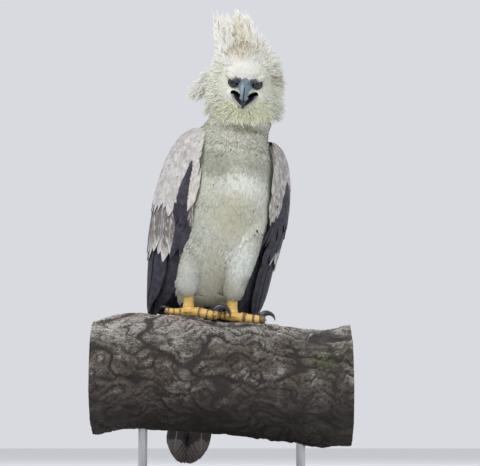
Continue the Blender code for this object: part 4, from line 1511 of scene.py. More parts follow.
@dataclass
class Leg:
    """One feathered leg down to its bare shank.

    Its rows are (across, depth, height, radius).
    """

    side: Side
    rows: tuple[tuple[float, float, float, float], ...]

    @staticmethod
    def pair() -> list["Leg"]:
        """Both legs, as rows of (across, depth, height, radius) over the limb's datum.

        Returns:
            The right leg and the left one.
        """
        right = (
            (-0.040, 0.006, 0.245, 0.026),
            (-0.047, -0.016, 0.205, 0.034),
            (-0.061, -0.029, 0.155, 0.034),
            (-0.076, -0.031, 0.112, 0.0300),
            (-0.083, -0.024, 0.080, 0.0265),
            (-0.082, -0.016, 0.062, 0.0245),
            (-0.081, -0.012, 0.052, 0.0160),
        )
        left = (
            (0.076, 0.004, 0.235, 0.026),
            (0.067, -0.016, 0.195, 0.034),
            (0.055, -0.027, 0.145, 0.033),
            (0.041, -0.028, 0.102, 0.0300),
            (0.031, -0.021, 0.070, 0.0265),
            (0.027, -0.014, 0.052, 0.0245),
            (0.026, -0.010, 0.042, 0.0160),
        )
        return [Leg(Side.RIGHT, right), Leg(Side.LEFT, left)]

    def axis(self, count: int) -> tuple[Array, Array]:
        """Points down the leg's middle, and its radius at each."""
        found = through(self.rows, count)
        return found[:, :3] + np.array((0, 0, DATUM)), found[:, 3]

    def depth(self, share: Array) -> Array:
        """Depth of the coat down the leg."""
        return 0.0058 - 0.0022 * eased(0.35, 1.0, share)

    def nearest(self, points: Array) -> tuple[Array, Array, Array]:
        """Where points are on the leg.

        Args:
            points: World points.

        Returns:
            Share down the leg, distance out of its form, and the leg's direction there.
        """
        steps = 80
        path, radii = self.axis(steps)
        apart = np.linalg.norm(points[:, None] - path[None], axis=2)
        index = np.argmin(apart - radii[None] * 0.5, axis=1)
        ahead = unit(np.gradient(path, axis=0))
        out = apart[np.arange(len(points)), index] - radii[index]
        return index / (steps - 1), out, ahead[index]


# Coat


@dataclass(frozen=True)
class Lay:
    """How one region's feathers lie: their number, sizes and lift, in metres."""

    count: int
    length: tuple[float, float]
    width: tuple[float, float]
    depth: float
    stand: float = 0.0
    twist: float = 0.20
    leaf: Sheaf = Sheaf(5, 3)


class Region(Enum):
    """The regions of the coat, each of them one piece of mesh."""

    FACE = "coat_face"
    HEAD = "coat_head"
    NECK = "coat_neck"
    BREAST = "coat_breast"
    BELLY = "coat_belly"
    BACK = "coat_back"
    LEG_RIGHT = "coat_leg_right"
    LEG_LEFT = "coat_leg_left"


COAT: dict[Region, Lay] = {
    Region.FACE: Lay(8000, (0.009, 0.015), (0.0020, 0.0030), 0.0026, 0.05, 0.22, Sheaf(4, 2)),
    Region.HEAD: Lay(9000, (0.020, 0.032), (0.0030, 0.0044), 0.0052, 0.13, 0.30, Sheaf(4, 2)),
    Region.NECK: Lay(5200, (0.026, 0.040), (0.0052, 0.0076), 0.0056, 0.06, 0.26, Sheaf(5, 2)),
    Region.BREAST: Lay(3500, (0.034, 0.048), (0.0140, 0.0200), 0.0056, 0.0),
    Region.BELLY: Lay(2600, (0.032, 0.048), (0.0130, 0.0190), 0.0056, 0.02),
    Region.BACK: Lay(1400, (0.040, 0.054), (0.0240, 0.0310), 0.0056, 0.0),
    Region.LEG_RIGHT: Lay(4000, (0.015, 0.025), (0.0036, 0.0054), 0.0046, 0.05, 0.24, Sheaf(4, 2)),
    Region.LEG_LEFT: Lay(4000, (0.015, 0.025), (0.0036, 0.0054), 0.0046, 0.05, 0.24, Sheaf(4, 2)),
}


@dataclass
class Coat:
    """Tufts all over the skin, which follow the lie of a raptor's feathers."""

    body: Body
    legs: list[Leg]
    wings: list["Wing"]
    skin: bpy.types.Object
    seed: int = 5
    breast_from: float = 0.235
    neck_from: float = 0.440
    head_from: float = 0.520
    leg_to: float = 0.26
    back_turn: float = 1.9
    face_middle: Place = (0, -0.050, -0.002)
    face_reach: float = 0.050
    face_heart: Place = (0, -0.060, -0.002)
    eye_middle: Place = (0.0288, -0.058, 0.002)
    eye_clear: float = 0.0112
    bill_middle: Place = (0, -0.060, 0.001)
    bill_radii: Place = (0.0130, 0.022, 0.0165)
    lay_source: Place = (0.0, -0.080, -0.004)

    def __post_init__(self) -> None:
        """Reads the skin's faces once, and the region of each."""
        mesh = self.skin.data
        self.points = places_of(mesh)
        shape = bmesh.new()
        shape.from_mesh(mesh)
        bmesh.ops.triangulate(shape, faces=shape.faces)
        shape.verts.ensure_lookup_table()
        self.tree = BVHTree.FromBMesh(shape)
        self.triangles = np.array([[v.index for v in f.verts] for f in shape.faces])
        self.normals = np.array([v.normal[:] for v in shape.verts])
        shape.free()
        self.chance = np.random.default_rng(self.seed)
        corners = self.points[self.triangles]
        cross = np.cross(corners[:, 1] - corners[:, 0], corners[:, 2] - corners[:, 0])
        self.areas = np.linalg.norm(cross, axis=1) / 2
        self.regions = self._regions(corners.mean(axis=1))

    def _regions(self, points: Array) -> Array:
        """The region of each point, or None where nothing grows.

        Args:
            points: World points near the skin.

        Returns:
            An array of regions.
        """
        height, turn = self.body.spine_place(points)
        found = np.full(len(points), Region.BELLY, dtype=object)
        found[(height > self.breast_from) & (np.abs(turn) < self.back_turn)] = Region.BREAST
        found[np.abs(turn) >= self.back_turn] = Region.BACK
        found[height > self.neck_from] = Region.NECK
        found[height > self.head_from] = Region.HEAD
        near = into(FACE, points)
        away = np.linalg.norm((near - self.face_middle) / (1.0, 1.0, 1.05), axis=1)
        found[(away < self.face_reach) & (height > self.head_from)] = Region.FACE
        for leg, region in zip(self.legs, (Region.LEG_RIGHT, Region.LEG_LEFT)):
            share, out, _ = leg.nearest(points)
            on_leg = (np.abs(out + leg.depth(share)) < 0.0045) & (share > 0.10)
            found[on_leg & (height < self.leg_to)] = region
        mouth = self.body.gape_reach(points)
        over = near[:, 2] - (0.887 * np.abs(near[:, 0]) - 0.052)
        low_bill = (over > -0.003) & (over < 0.012) & (np.abs(near[:, 0]) < 0.033)
        low_bill &= near[:, 1] < -0.045
        low_bill |= (mouth < 1.65) & (near[:, 2] > -0.024)
        bill = np.linalg.norm((near - self.bill_middle) / self.bill_radii, axis=1)
        for side in Side:
            middle = np.array(self.eye_middle) * (side.value, 1, 1)
            found[np.linalg.norm(near - middle, axis=1) < self.eye_clear] = None
        found[(mouth < 1.08) | (bill < 1.0) | low_bill] = None
        for wing in self.wings:
            found[wing.covers(points)] = None
        return found

    def lie(self, points: Array, normals: Array) -> Array:
        """The way that the feathers point at some places, along the surface.

        Args:
            points: World points.
            normals: The surface's normals there.

        Returns:
            Unit vectors.
        """
        height, turn = self.body.spine_place(points)
        down, across = turned(TRUNK, (0, 0, -1)), turned(TRUNK, (1, 0, 0))
        back = turned(TRUNK, (0, 1, 0))
        front = np.cos(turn)[:, None]
        low = eased(0.20, 0.05, height)[:, None]
        trunk = down + across * (0.22 * np.sin(turn))[:, None] + back * low * front * 0.5
        source = carry(FACE, np.array(self.lay_source))
        radial = unit(points - source)
        nape = eased(0.02, 0.09, into(HEAD, points)[:, 1])[:, None]
        radial = unit(radial + down * 0.9 * nape)
        share = eased(0.490, 0.540, height)[:, None]
        way = trunk * (1 - share) + radial * share
        for leg in self.legs:
            along, out, ahead = leg.nearest(points)
            mine = ((np.abs(out + leg.depth(along)) < 0.006) & (height < self.leg_to))[:, None]
            way = np.where(mine, ahead + back * 0.12, way)
        way = way - normals * (way * normals).sum(axis=1, keepdims=True)
        return unit(way)

    def sampled(self, region: Region, count: int) -> tuple[Array, Array]:
        """Even places over one region of the skin.

        Args:
            region: The region.
            count: How many.

        Returns:
            The places, and the surface's smooth normals there.
        """
        mine = np.array([found is region for found in self.regions])
        weight = np.where(mine, self.areas, 0.0)
        total = np.cumsum(weight)
        steps = (np.arange(count) + self.chance.random(count)) / count * total[-1]
        index = np.searchsorted(total, steps)
        share = self.chance.random((count, 2))
        over = share.sum(axis=1) > 1
        share[over] = 1 - share[over]
        weights = np.column_stack((1 - share.sum(axis=1), share))[:, :, None]
        corners = self.triangles[index]
        points = (self.points[corners] * weights).sum(axis=1)
        return points, unit((self.normals[corners] * weights).sum(axis=1))

    def onto_skin(self, points: Array) -> tuple[Array, Array]:
        """The nearest places on the skin, and the normals there.

        Args:
            points: World points.

        Returns:
            The places and the unit normals.
        """
        places, faces = [], []
        for point in points:
            place, _, face, _ = self.tree.find_nearest(Vector(point))
            places.append(place[:])
            faces.append(face)
        normals = self.normals[self.triangles[np.array(faces)]].mean(axis=1)
        return np.array(places), unit(normals)

    def size_share(self, region: Region, roots: Array) -> Array:
        """How large the tufts are at their roots, against their region's sizes.

        Args:
            region: Their region.
            roots: Where they grow.

        Returns:
            A share for each tuft.
        """
        if region in (Region.LEG_RIGHT, Region.LEG_LEFT):
            leg = self.legs[0 if region is Region.LEG_RIGHT else 1]
            share, _, _ = leg.nearest(roots)
            return 1.25 - 0.60 * eased(0.45, 1.0, share)
        away = np.linalg.norm(into(FACE, roots) - self.face_heart, axis=1)
        if region is Region.FACE:
            return 0.62 + 0.60 * eased(0.018, 0.050, away)
        if region is Region.HEAD:
            return 0.62 + 0.50 * eased(0.050, 0.100, away)
        return np.ones(len(roots))

    def grow(self, region: Region) -> bpy.types.Object:
        """Makes the tufts of one region.

        Args:
            region: The region.

        Returns:
            The piece.
        """
        lay = COAT[region]
        roots, normals = self.sampled(region, lay.count)
        way = self.lie(roots, normals)
        count = len(roots)
        angle = self.chance.normal(0.0, lay.twist, count)[:, None]
        way = way * np.cos(angle) + np.cross(normals, way) * np.sin(angle)
        size = self.size_share(region, roots)
        length = self.chance.uniform(*lay.length, count) * size
        width = self.chance.uniform(*lay.width, count) * size
        ends, end_normals = self.onto_skin(roots + way * length[:, None])
        plan = Tufts(lay.leaf, self.chance)
        flock = Flock(region.value, lay.leaf)
        height, turn = self.body.spine_place(roots)
        patches = np.column_stack(
            (
                0.03 + 0.93 * (turn / (2 * math.pi) + 0.5),
                0.03 + 0.93 * np.clip(height / 0.68, 0, 1),
                np.full((count, 2), TUFT_PATCH),
            )
        )
        depth = lay.depth * self.chance.uniform(0.86, 1.06, count) * np.minimum(size, 1.1)
        crown = eased(0.600, 0.650, height) * (region is Region.HEAD)
        x, z = roots[:, 0], roots[:, 2]
        ruffle = np.sin(37 * x + 15 * z + 1.0) * np.sin(31 * z - 19 * x) + 0.3 * np.sin(90 * z)
        stand = lay.stand + 0.55 * crown + 0.045 * eased(0.35, 0.95, ruffle)
        length = length * (1 + 0.5 * crown)
        top, under = plan.bent(
            roots, way, ends, normals, end_normals, length, width, depth, stand
        )
        share = lay.leaf.grid()[0][None, :, :, None]
        facing = unit(normals[:, None, None] * (1 - share) + end_normals[:, None, None] * share)
        flock.add(top, under, roots, self.chance.random(count), patches, facing=facing)
        finish = made_once("plumage_white", Plumage().coat)
        return dressed(flock.mesh(), finish, [])


@dataclass
class Tufts:
    """Bends flat leaves over a surface."""

    leaf: Sheaf
    chance: np.random.Generator
    thick: float = 0.0006
    fray: float = 0.16

    def outline(self, along: Array) -> Array:
        """Width of a soft feather along its length, as a share of its widest.

        Args:
            along: Places along it, from 0 to 1.

        Returns:
            Its width there.
        """
        bow = np.sin(math.pi * np.clip(along, 0, 1) ** 0.80) ** 0.75
        return 0.30 + 0.70 * bow * (1 - 0.25 * along) - 0.22 * eased(0.90, 1.0, along)

    def bent(
        self,
        roots: Array,
        way: Array,
        ends: Array,
        normals: Array,
        end_normals: Array,
        length: Array,
        width: Array,
        depth: Array,
        stand: Array,
    ) -> tuple[Array, Array]:
        """Leaves that run from their roots over the surface.

        Args:
            roots: Where they grow.
            way: Their direction there.
            ends: Where the surface lies below their tips.
            normals: The surface's normals at the roots.
            end_normals: The normals at the ends.
            length: Their lengths.
            width: Their widths.
            depth: How far the tips lie over the skin.
            stand: How far they stand off, as a share of the length.

        Returns:
            The top's points and the underside's.
        """
        along, across = self.leaf.grid()
        count = len(roots)
        s = along[None, :, :, None]
        e = across[None, :, :, None]
        run = length[:, None, None, None]
        straight = roots[:, None, None] + way[:, None, None] * run * s
        follow = ends - (roots + way * length[:, None])
        spine = straight + follow[:, None, None] * s**2
        up = unit(normals[:, None, None] * (1 - s) + end_normals[:, None, None] * s)
        rise = depth[:, None, None, None] * (2.00 * s - 1.12 * s**2) - 0.0012 * (1 - s)
        rise = rise + np.broadcast_to(stand, (count,))[:, None, None, None] * run * s**2
        sway = self.chance.normal(0.0, 0.10, count)[:, None, None, None]
        side = unit(np.cross(up, way[:, None, None]))
        edges = np.ones((count, *along.shape))
        rim = np.abs(across) > 0.99
        jitter = self.chance.normal(0.0, self.fray, (count, *along.shape))
        edges = edges + np.where(rim[None], jitter, 0.0)
        half = width[:, None, None] / 2 * self.outline(along)[None] * edges
        place = spine + up * rise + side * (half[..., None] * e + sway * run * s**2)
        cup = -0.22 * half[..., None] * e**2
        tips = self.chance.normal(0.0, 0.05, (count, *along.shape))[..., None]
        place = place + up * cup + way[:, None, None] * run * tips * s**3
        return place, self.leaf.between(place) - up[:, :, :1] * self.thick


# Loose feathers of the head


@dataclass
class Plume:
    """Long soft feathers, each with a shaft and separate barbs at its edges."""

    name: str
    chance: np.random.Generator
    vane: Sheaf = Sheaf(10, 5)
    barb: Sheaf = Sheaf(4, 2)
    thick: float = 0.0008
    barbs: int = 22
    soft: float = 0.85
    barb_width: float = 0.0020
    downs: int = 12
    body: float = 0.40
    frontal: float = 0.03
    spread: tuple[float, float] = (12.0, 28.0)
    middle: Any = None

    def __post_init__(self) -> None:
        """Starts the three flocks."""
        self.vanes = Flock(f"{self.name}_vanes", self.vane, soft=self.soft)
        self.wisps = Flock(f"{self.name}_barbs", self.barb, soft=self.soft)
        self.down = Flock(f"{self.name}_down", Sheaf(4, 2), soft=self.soft)

    def feather(
        self, path: Array, facing: Array, width: float, patch: tuple[float, float], loose: float
    ) -> None:
        """Adds one feather.

        Args:
            path: Points along its shaft.
            facing: The way its face looks.
            width: Its full width, barbs included.
            patch: Its place in the bake map.
            loose: How far the barbs spread, 1 for a normal feather.
        """
        along, across = self.vane.grid()
        steps = np.linspace(0, 1, len(path))
        spots = np.stack([np.interp(along[:, 0], steps, path[:, k]) for k in range(3)], axis=1)
        ahead = unit(np.gradient(spots, axis=0))
        side = unit(np.cross(ahead, facing[None]))
        up = np.cross(side, ahead)
        taper = (0.35 + 0.65 * np.sin(math.pi * along[:, 0] ** 0.85)) * (
            1 - 0.55 * along[:, 0] ** 3
        )
        half = width * self.body * taper[:, None] * (
            1 + self.chance.normal(0, 0.16, along.shape) * (np.abs(across) > 0.9)
        )
        top = spots[:, None] + side[:, None] * (half * across)[..., None]
        top = top - up[:, None] * (half * 0.30 * across**2)[..., None]
        low = self.vane.under_columns()
        under = top[:, low] - up[:, None] * self.thick
        tone = self.chance.random()
        spot = np.array([[*patch, TUFT_PATCH, TUFT_PATCH]])
        root = path[0][None]
        soft = up if self.middle is None else unit(spots - self.middle + up * self.frontal)
        look = np.broadcast_to(soft[:, None], top.shape)[None]
        self.vanes.add(top[None], under[None], root, np.array([tone]), spot, facing=look)
        shaft = (spots, side, up, ahead, soft)
        self._fringe(shaft, width, root[0], tone, spot[0], loose)
        self._downy(shaft, width, root[0], spot[0])

    def _downy(
        self, shaft: tuple[Array, ...], width: float, root: Array, spot: Array
    ) -> None:
        """Adds short loose down round one feather, which fills the gaps to its neighbours.

        Args:
            shaft: Places, sideways, upwards, onwards and outwards along the shaft.
            width: The feather's width.
            root: Where the feather grows.
            spot: Its patch in the bake map.
        """
        spots, side, up, ahead, soft = shaft
        count = self.downs
        index = self.chance.integers(0, len(spots) - 1, count)
        aside, off = self.chance.uniform(-0.5, 0.5, (2, count, 1)) * width
        start = spots[index] + side[index] * aside + up[index] * off * 0.6
        run = unit(ahead[index] + self.chance.normal(0, 0.30, (count, 3)))
        length = self.chance.uniform(0.010, 0.019, count)
        along, across = self.down.leaf.grid()
        s, e = along[None, :, :, None], across[None, :, :, None]
        look = unit(soft[index] + self.chance.normal(0, 0.15, (count, 3)))
        lateral = unit(np.cross(look, run))
        taper = (0.5 + 0.5 * np.sin(math.pi * along**0.8))[None, :, :, None] * 0.0012
        place = (
            start[:, None, None]
            + run[:, None, None] * length[:, None, None, None] * s
            + lateral[:, None, None] * e * taper
        )
        under = self.down.leaf.between(place) - look[:, None, None] * self.thick * 0.6
        self.down.add(
            place,
            under,
            np.repeat(root[None], count, axis=0),
            self.chance.random(count),
            np.repeat(spot[None], count, axis=0),
            facing=look[:, None, None],
        )

    def _fringe(
        self,
        shaft: tuple[Array, ...],
        width: float,
        root: Array,
        tone: float,
        spot: Array,
        loose: float,
    ) -> None:
        """Adds the barbs that stand out past one feather's vane.

        Args:
            shaft: Places, sideways, upwards, onwards and outwards along the shaft.
            width: The feather's width.
            root: Where the feather grows.
            tone: The feather's own tone.
            spot: Its patch in the bake map.
            loose: How far the barbs spread.
        """
        spots, side, up, ahead, soft = shaft
        count = self.barbs * 2
        share = np.repeat(np.linspace(0.12, 0.98, self.barbs), 2)
        share = np.clip(share + self.chance.normal(0, 0.02, count), 0.05, 1.0)
        hand = np.tile((-1.0, 1.0), self.barbs)
        places = share * (len(spots) - 1)
        low = np.minimum(places.astype(int), len(spots) - 2)
        part = (places - low)[:, None]

        def between(values: Array) -> Array:
            """Values along the shaft at each barb."""
            return values[low] * (1 - part) + values[low + 1] * part

        start, out, normal, way = between(spots), between(side), between(up), between(ahead)
        spread = np.radians(self.chance.uniform(*self.spread, count) * loose)[:, None]
        spread = spread * (1 - 0.75 * share[:, None] ** 2)
        run = unit(way * np.cos(spread) + out * hand[:, None] * np.sin(spread))
        taper = 0.55 + 0.45 * np.sin(math.pi * share**0.85)
        length = width * 0.85 * taper * self.chance.uniform(0.7, 1.3, count)
        along, across = self.barb.grid()
        s, e = along[None, :, :, None], across[None, :, :, None]
        lateral = unit(np.cross(normal, run))
        bend = self.chance.normal(0.0, 0.18, count)[:, None, None, None]
        tip = (1 - 0.85 * along)[None, :, :, None]
        place = (
            start[:, None, None]
            + run[:, None, None] * length[:, None, None, None] * s
            + normal[:, None, None] * length[:, None, None, None] * bend * s**2
            + way[:, None, None] * length[:, None, None, None] * 0.22 * s**2
            + lateral[:, None, None] * e * tip * self.barb_width / 2
        )
        under = self.barb.between(place) - normal[:, None, None] * self.thick * 0.6
        self.wisps.add(
            place,
            under,
            np.repeat(root[None], count, axis=0),
            np.full(count, tone),
            np.repeat(spot[None], count, axis=0),
            facing=between(soft)[:, None, None],
        )

    def finish(self, slot: str, nodes: Sequence[str]) -> list[bpy.types.Object]:
        """Makes the vanes, the barbs and the down.

        Args:
            slot: Not used.
            nodes: CAD nodes that the vanes replace.

        Returns:
            The three objects.
        """
        coat = made_once("plumage_white", Plumage().coat)
        return [
            dressed(self.vanes.mesh(), coat, nodes),
            dressed(self.wisps.mesh(), coat, []),
            dressed(self.down.mesh(), coat, []),
        ]


@dataclass
class Crest:
    """The raised crest, in rows that fan from the crown.

    Tips are (share across, place across, height), rows are (row, depth, height, share of the
    tips' height, lean), counts are (feathers, row, share of the length), and roots are the first
    place across, the width and the fall to the sides.
    """

    tips: Curve = Curve(
        (
            (0.00, -0.104, 0.186),
            (0.14, -0.083, 0.200),
            (0.29, -0.060, 0.194),
            (0.43, -0.038, 0.198),
            (0.57, -0.020, 0.201),
            (0.71, -0.003, 0.182),
            (0.86, 0.012, 0.146),
            (1.00, 0.028, 0.104),
        )
    )
    rows: Curve = Curve(
        (
            (0.0, -0.012, 0.071, 0.62, -0.016),
            (0.25, -0.004, 0.070, 0.84, -0.010),
            (0.62, 0.022, 0.066, 1.00, 0.022),
            (1.0, 0.046, 0.053, 0.92, 0.058),
        )
    )
    counts: tuple[tuple[int, float, float], ...] = (
        (19, 0.0, 0.62),
        (21, 0.1, 0.80),
        (23, 0.25, 1.0),
        (24, 0.42, 1.0),
        (25, 0.60, 1.0),
        (24, 0.80, 1.0),
        (20, 1.0, 1.0),
        (20, 0.05, 0.42),
        (18, 0.0, 0.34),
        (18, 0.15, 0.30),
        (22, 0.35, 0.55),
        (22, 0.70, 0.62),
        (20, 1.0, 0.60),
    )
    width: float = 0.024
    roots: tuple[float, float, float] = (-0.060, 0.112, 9.0)
    middle: Place = (-0.022, 0.055, 0.060)
    seed: int = 11

    def build(self) -> list[bpy.types.Object]:
        """Makes the crest's vanes and barbs, long rows among shorter ones.

        Returns:
            The pieces.
        """
        chance = np.random.default_rng(self.seed)
        middle = carry(HEAD, np.array(self.middle))
        plume = Plume("crest", chance, barbs=14, downs=10, middle=middle)
        level = np.linspace(0, 1, 9)
        first, wide, fall = self.roots
        for count, row, most in self.counts:
            front, height, full, lean = self.rows.at(row)
            for i in range(count):
                share = float(np.clip((i + 0.5 + chance.normal(0, 0.2)) / count, 0, 1))
                tip_across, tip_up = self.tips.at(share)
                across = first + wide * share
                root = np.array((across, front, height - fall * across * across - 0.010))
                reach = full * most * chance.uniform(0.76, 0.99)
                tip = np.array(
                    (
                        root[0] + (tip_across - root[0]) * reach,
                        front + lean * most + chance.normal(0, 0.004),
                        root[2] + (tip_up - root[2]) * reach,
                    )
                )
                bow = np.array((chance.normal(0, 0.005), 0.012 + chance.normal(0, 0.004), 0))
                path = root + (tip - root) * level[:, None] + bow * (level**2)[:, None]
                facing = np.array((chance.normal(0, 0.30), -1.0, 0.25))
                spot = (0.05 + 0.9 * share, 0.05 + 0.9 * row)
                look = unit(turned(HEAD, facing))
                plume.feather(carry(HEAD, path), look, self.width, spot, 1.0)
        dressed(self.heart(), bpy.data.materials["plumage_skin"], [])
        return plume.finish("head_feathers", ["crest"])

    def heart(self) -> bpy.types.Object:
        """The dense down inside the crest, which the long feathers stand out of.

        Returns:
            The object.
        """
        share = np.linspace(0.04, 0.96, 22)
        tips = self.tips.at(share)
        first, wide, fall = self.roots
        across = first + wide * share
        root = np.stack((across, 0 * across + 0.006, 0.062 - fall * across * across), axis=1)
        tip = np.stack((tips[:, 0], 0 * across + 0.016, tips[:, 1]), axis=1)
        edge = np.minimum(share, 1 - share) / 0.5
        loops = []
        for level in np.linspace(0.0, 0.64, 16):
            middle = root + (tip - root) * level * (0.80 + 0.20 * edge[:, None] ** 0.5)
            taper = 1 - float(eased(0.05, 0.66, level))
            thick = (0.002 + 0.027 * taper) * np.sqrt(np.minimum(edge * 2.2, 1.0))
            waves = 0.0022 * np.sin(share * 55 + level * 7) * (1 - 0.4 * level)
            ahead = middle + np.stack((0 * thick, -thick + waves, 0 * thick), axis=1)
            behind = middle + np.stack((0 * thick, thick * 1.9 - waves, 0 * thick), axis=1)
            loops.append(np.concatenate((ahead, behind[::-1])))
        return loft("crest_heart", carry(HEAD, np.array(loops)))


@dataclass
class Ruff:
    """Soft feathers that stand out round the face, over the throat and at the nape.

    Rings are (feathers, how far back, length, how far they stand off).
    """

    body: Body
    rings: tuple[tuple[int, float, float, float], ...] = (
        (48, 0.00, 0.026, 0.10),
        (50, 0.35, 0.029, 0.16),
        (50, 0.70, 0.031, 0.22),
        (48, 1.05, 0.032, 0.28),
        (44, 1.40, 0.032, 0.32),
    )
    span: float = 300.0
    width: float = 0.017
    middle: Place = (0.0, 0.030, -0.010)
    source: Place = (0.0, -0.070, -0.006)
    nape_width: float = 0.028
    seed: int = 23

    def build(self) -> list[bpy.types.Object]:
        """Makes the ruff's feathers and the loose plumes of the nape.

        Returns:
            The pieces.
        """
        chance = np.random.default_rng(self.seed)
        middle = carry(HEAD, np.array(self.middle))
        source = carry(FACE, np.array(self.source))
        plume = Plume(
            "ruff", chance, barbs=12, barb_width=0.0018, downs=14, body=0.28, middle=middle
        )
        level = np.linspace(0, 1, 7)
        for count, back, length, stand in self.rings:
            for i in range(count):
                spot_on = self.span * (i + 0.5 + chance.normal(0, 0.2)) / count
                angle = math.radians(-self.span / 2 + spot_on)
                side, down = math.sin(angle), math.cos(angle)
                turn = math.radians(50 + 26 * back) * side * (1.0 + 0.12 * abs(down))
                height = 0.566 - (0.044 + 0.020 * back * (0.4 + 0.6 * abs(side))) * down
                place = self.body.ring(height, np.array([turn]), -0.006)[0]
                out = unit(self.body.ring(height, np.array([turn]), 0.02)[0] - place)
                way = unit(place - source)
                way = unit(way - out * np.dot(way, out))
                run = length * chance.uniform(0.75, 1.10)
                lift = stand * chance.uniform(0.7, 1.2)
                path = (
                    place
                    + way * run * level[:, None]
                    + out * run * (lift * level + 0.15 * level**2)[:, None]
                    + np.array((0, 0, -1)) * run * 0.12 * (level**2)[:, None]
                )
                spot = (0.05 + 0.9 * (i / count), 0.05 + 0.25 * back)
                plume.feather(path, out, self.width, spot, 0.8)
        self._nape(plume, chance, level)
        return plume.finish("head_feathers", [])

    def _nape(self, plume: Plume, chance: np.random.Generator, level: Array) -> None:
        """Adds the loose feathers that blow out over the bird's right shoulder.

        Args:
            plume: Where they go, its vanes made wider.
            chance: The generator of their small differences.
            level: Shares along each feather.
        """
        plume.body, plume.frontal = 0.40, 0.20
        for rise, reach, drop, count in ((0.004, 0.086, 0.030, 20), (0.036, 0.058, 0.018, 8)):
            for i in range(count):
                along = reach * chance.uniform(0.55, 1.0)
                start = np.array((-0.056, 0.016, rise + chance.normal(0, 0.012)))
                path = np.stack(
                    (
                        start[0] - along * level,
                        start[1] + 0.012 * level + chance.normal(0, 0.003),
                        start[2] - drop * level**2 + chance.normal(0, 0.010) * level,
                    ),
                    axis=1,
                )
                facing = turned(HEAD, (0.0, -1.0, 0.15))
                spot = (0.05 + 0.045 * i, 0.95)
                plume.feather(carry(HEAD, path), facing, self.nape_width, spot, 1.0)


# Bill, eyes and lids


@dataclass
class Bill:
    """The hooked bill, a little open, with its cere and slit nostrils.

    Rows are (forward, up, half width, half height) in the face's frame.
    """

    upper: tuple[tuple[float, float, float, float], ...] = (
        (0.046, 0.001, 0.0130, 0.0165),
        (0.057, 0.001, 0.0150, 0.0178),
        (0.068, 0.000, 0.0172, 0.0180),
        (0.078, -0.003, 0.0152, 0.0170),
        (0.088, -0.009, 0.0125, 0.0155),
        (0.0965, -0.020, 0.0098, 0.0122),
        (0.1010, -0.032, 0.0070, 0.0090),
        (0.1010, -0.044, 0.0046, 0.0058),
        (0.0975, -0.0555, 0.0013, 0.0013),
    )
    lower: tuple[tuple[float, float, float, float], ...] = (
        (0.050, -0.0300, 0.0335, 0.0026),
        (0.062, -0.0372, 0.0305, 0.0032),
        (0.0715, -0.0432, 0.0230, 0.0038),
        (0.080, -0.0475, 0.0155, 0.0042),
        (0.0865, -0.0508, 0.0080, 0.0034),
        (0.0900, -0.0525, 0.0024, 0.0014),
    )
    trough: float = 0.28
    nostril: Place = (0.0165, 0.068, 0.003)
    tongue_middle: Place = (0, -0.060, -0.0370)
    tongue_radii: Place = (0.010, 0.020, 0.0035)

    def half(self, name: str, rows: Sequence[Sequence[float]], rings: int) -> bpy.types.Object:
        """One half of the bill, its top drawn in to a rounded keel.

        Args:
            name: The object's name.
            rows: Rows of (forward, up, half width, half height).
            rings: Cross-sections of the mesh.

        Returns:
            The object, with its place in the face's frame as a mark.
        """
        found = through(rows, rings)
        middle = np.stack((0 * found[:, 0], -found[:, 0], found[:, 1]), axis=1)
        ahead = unit(np.gradient(middle, axis=0))
        across = np.array((1.0, 0.0, 0.0))
        rise = np.cross(ahead, across)
        rise = rise * np.where(rise[:, 2:] < 0, -1.0, 1.0)
        turns = around(40)
        side, up = np.cos(turns), np.sin(turns)
        pinch = 1.0 - 0.30 * np.maximum(up, 0) ** 1.4
        flat = (
            middle[:, None]
            + across * (side * pinch)[None, :, None] * found[:, None, 2:3]
            + rise[:, None] * up[None, :, None] * found[:, None, 3:4]
        )
        if rows is self.lower:
            edge = self.trough * side[None, :, None] ** 2 * found[:, None, 2:3]
            flat = flat + rise[:, None] * edge
        made = loft(name, flat)
        local = places_of(made.data)
        local = self._cut_nostrils(local) if rows is self.upper else local
        made.data.vertices.foreach_set("co", carry(FACE, local).ravel())
        marks = local * np.array((1, -1, 1))
        if rows is self.lower:
            apart = np.linalg.norm(local[:, None, 1:] - middle[None, :, 1:], axis=2)
            near = np.argmin(apart, axis=1)
            marks[:, 0] = np.abs(local[:, 0]) / found[near, 2]
            marks[:, 2] = ((local - middle[near]) * rise[near]).sum(axis=1) * 100
        lay_mark(made.data, "mark", marks)
        made.data.shade_smooth()
        return made

    def _cut_nostrils(self, local: Array) -> Array:
        """Presses a slit into each side of the cere.

        Args:
            local: The half's points in the face's frame.

        Returns:
            The points, moved in at the slits.
        """
        across, forward, up = self.nostril
        for side in Side:
            away = (local - (side.value * across, -forward, up)) / (0.006, 0.0026, 0.0050)
            near = np.exp(-(np.linalg.norm(away, axis=1) ** 2))
            local = local - np.array((side.value, 0, 0)) * (0.0034 * near)[:, None]
        return local

    def tongue(self) -> bpy.types.Object:
        """The dark tongue between the two halves."""
        return ball("tongue", FACE @ Matrix.Translation(self.tongue_middle), self.tongue_radii)

    def build(self) -> list[bpy.types.Object]:
        """Makes both halves and the tongue.

        Returns:
            The three objects.
        """
        horn = BillHorn()
        top = self.half("bill_top", self.upper, 64)
        low = self.half("bill_under", self.lower, 40)
        return [
            dressed(top, horn.material(), ["bill_upper"]),
            dressed(low, horn.lower(), ["bill_lower"]),
            dressed(self.tongue(), MouthSkin().material(), []),
        ]


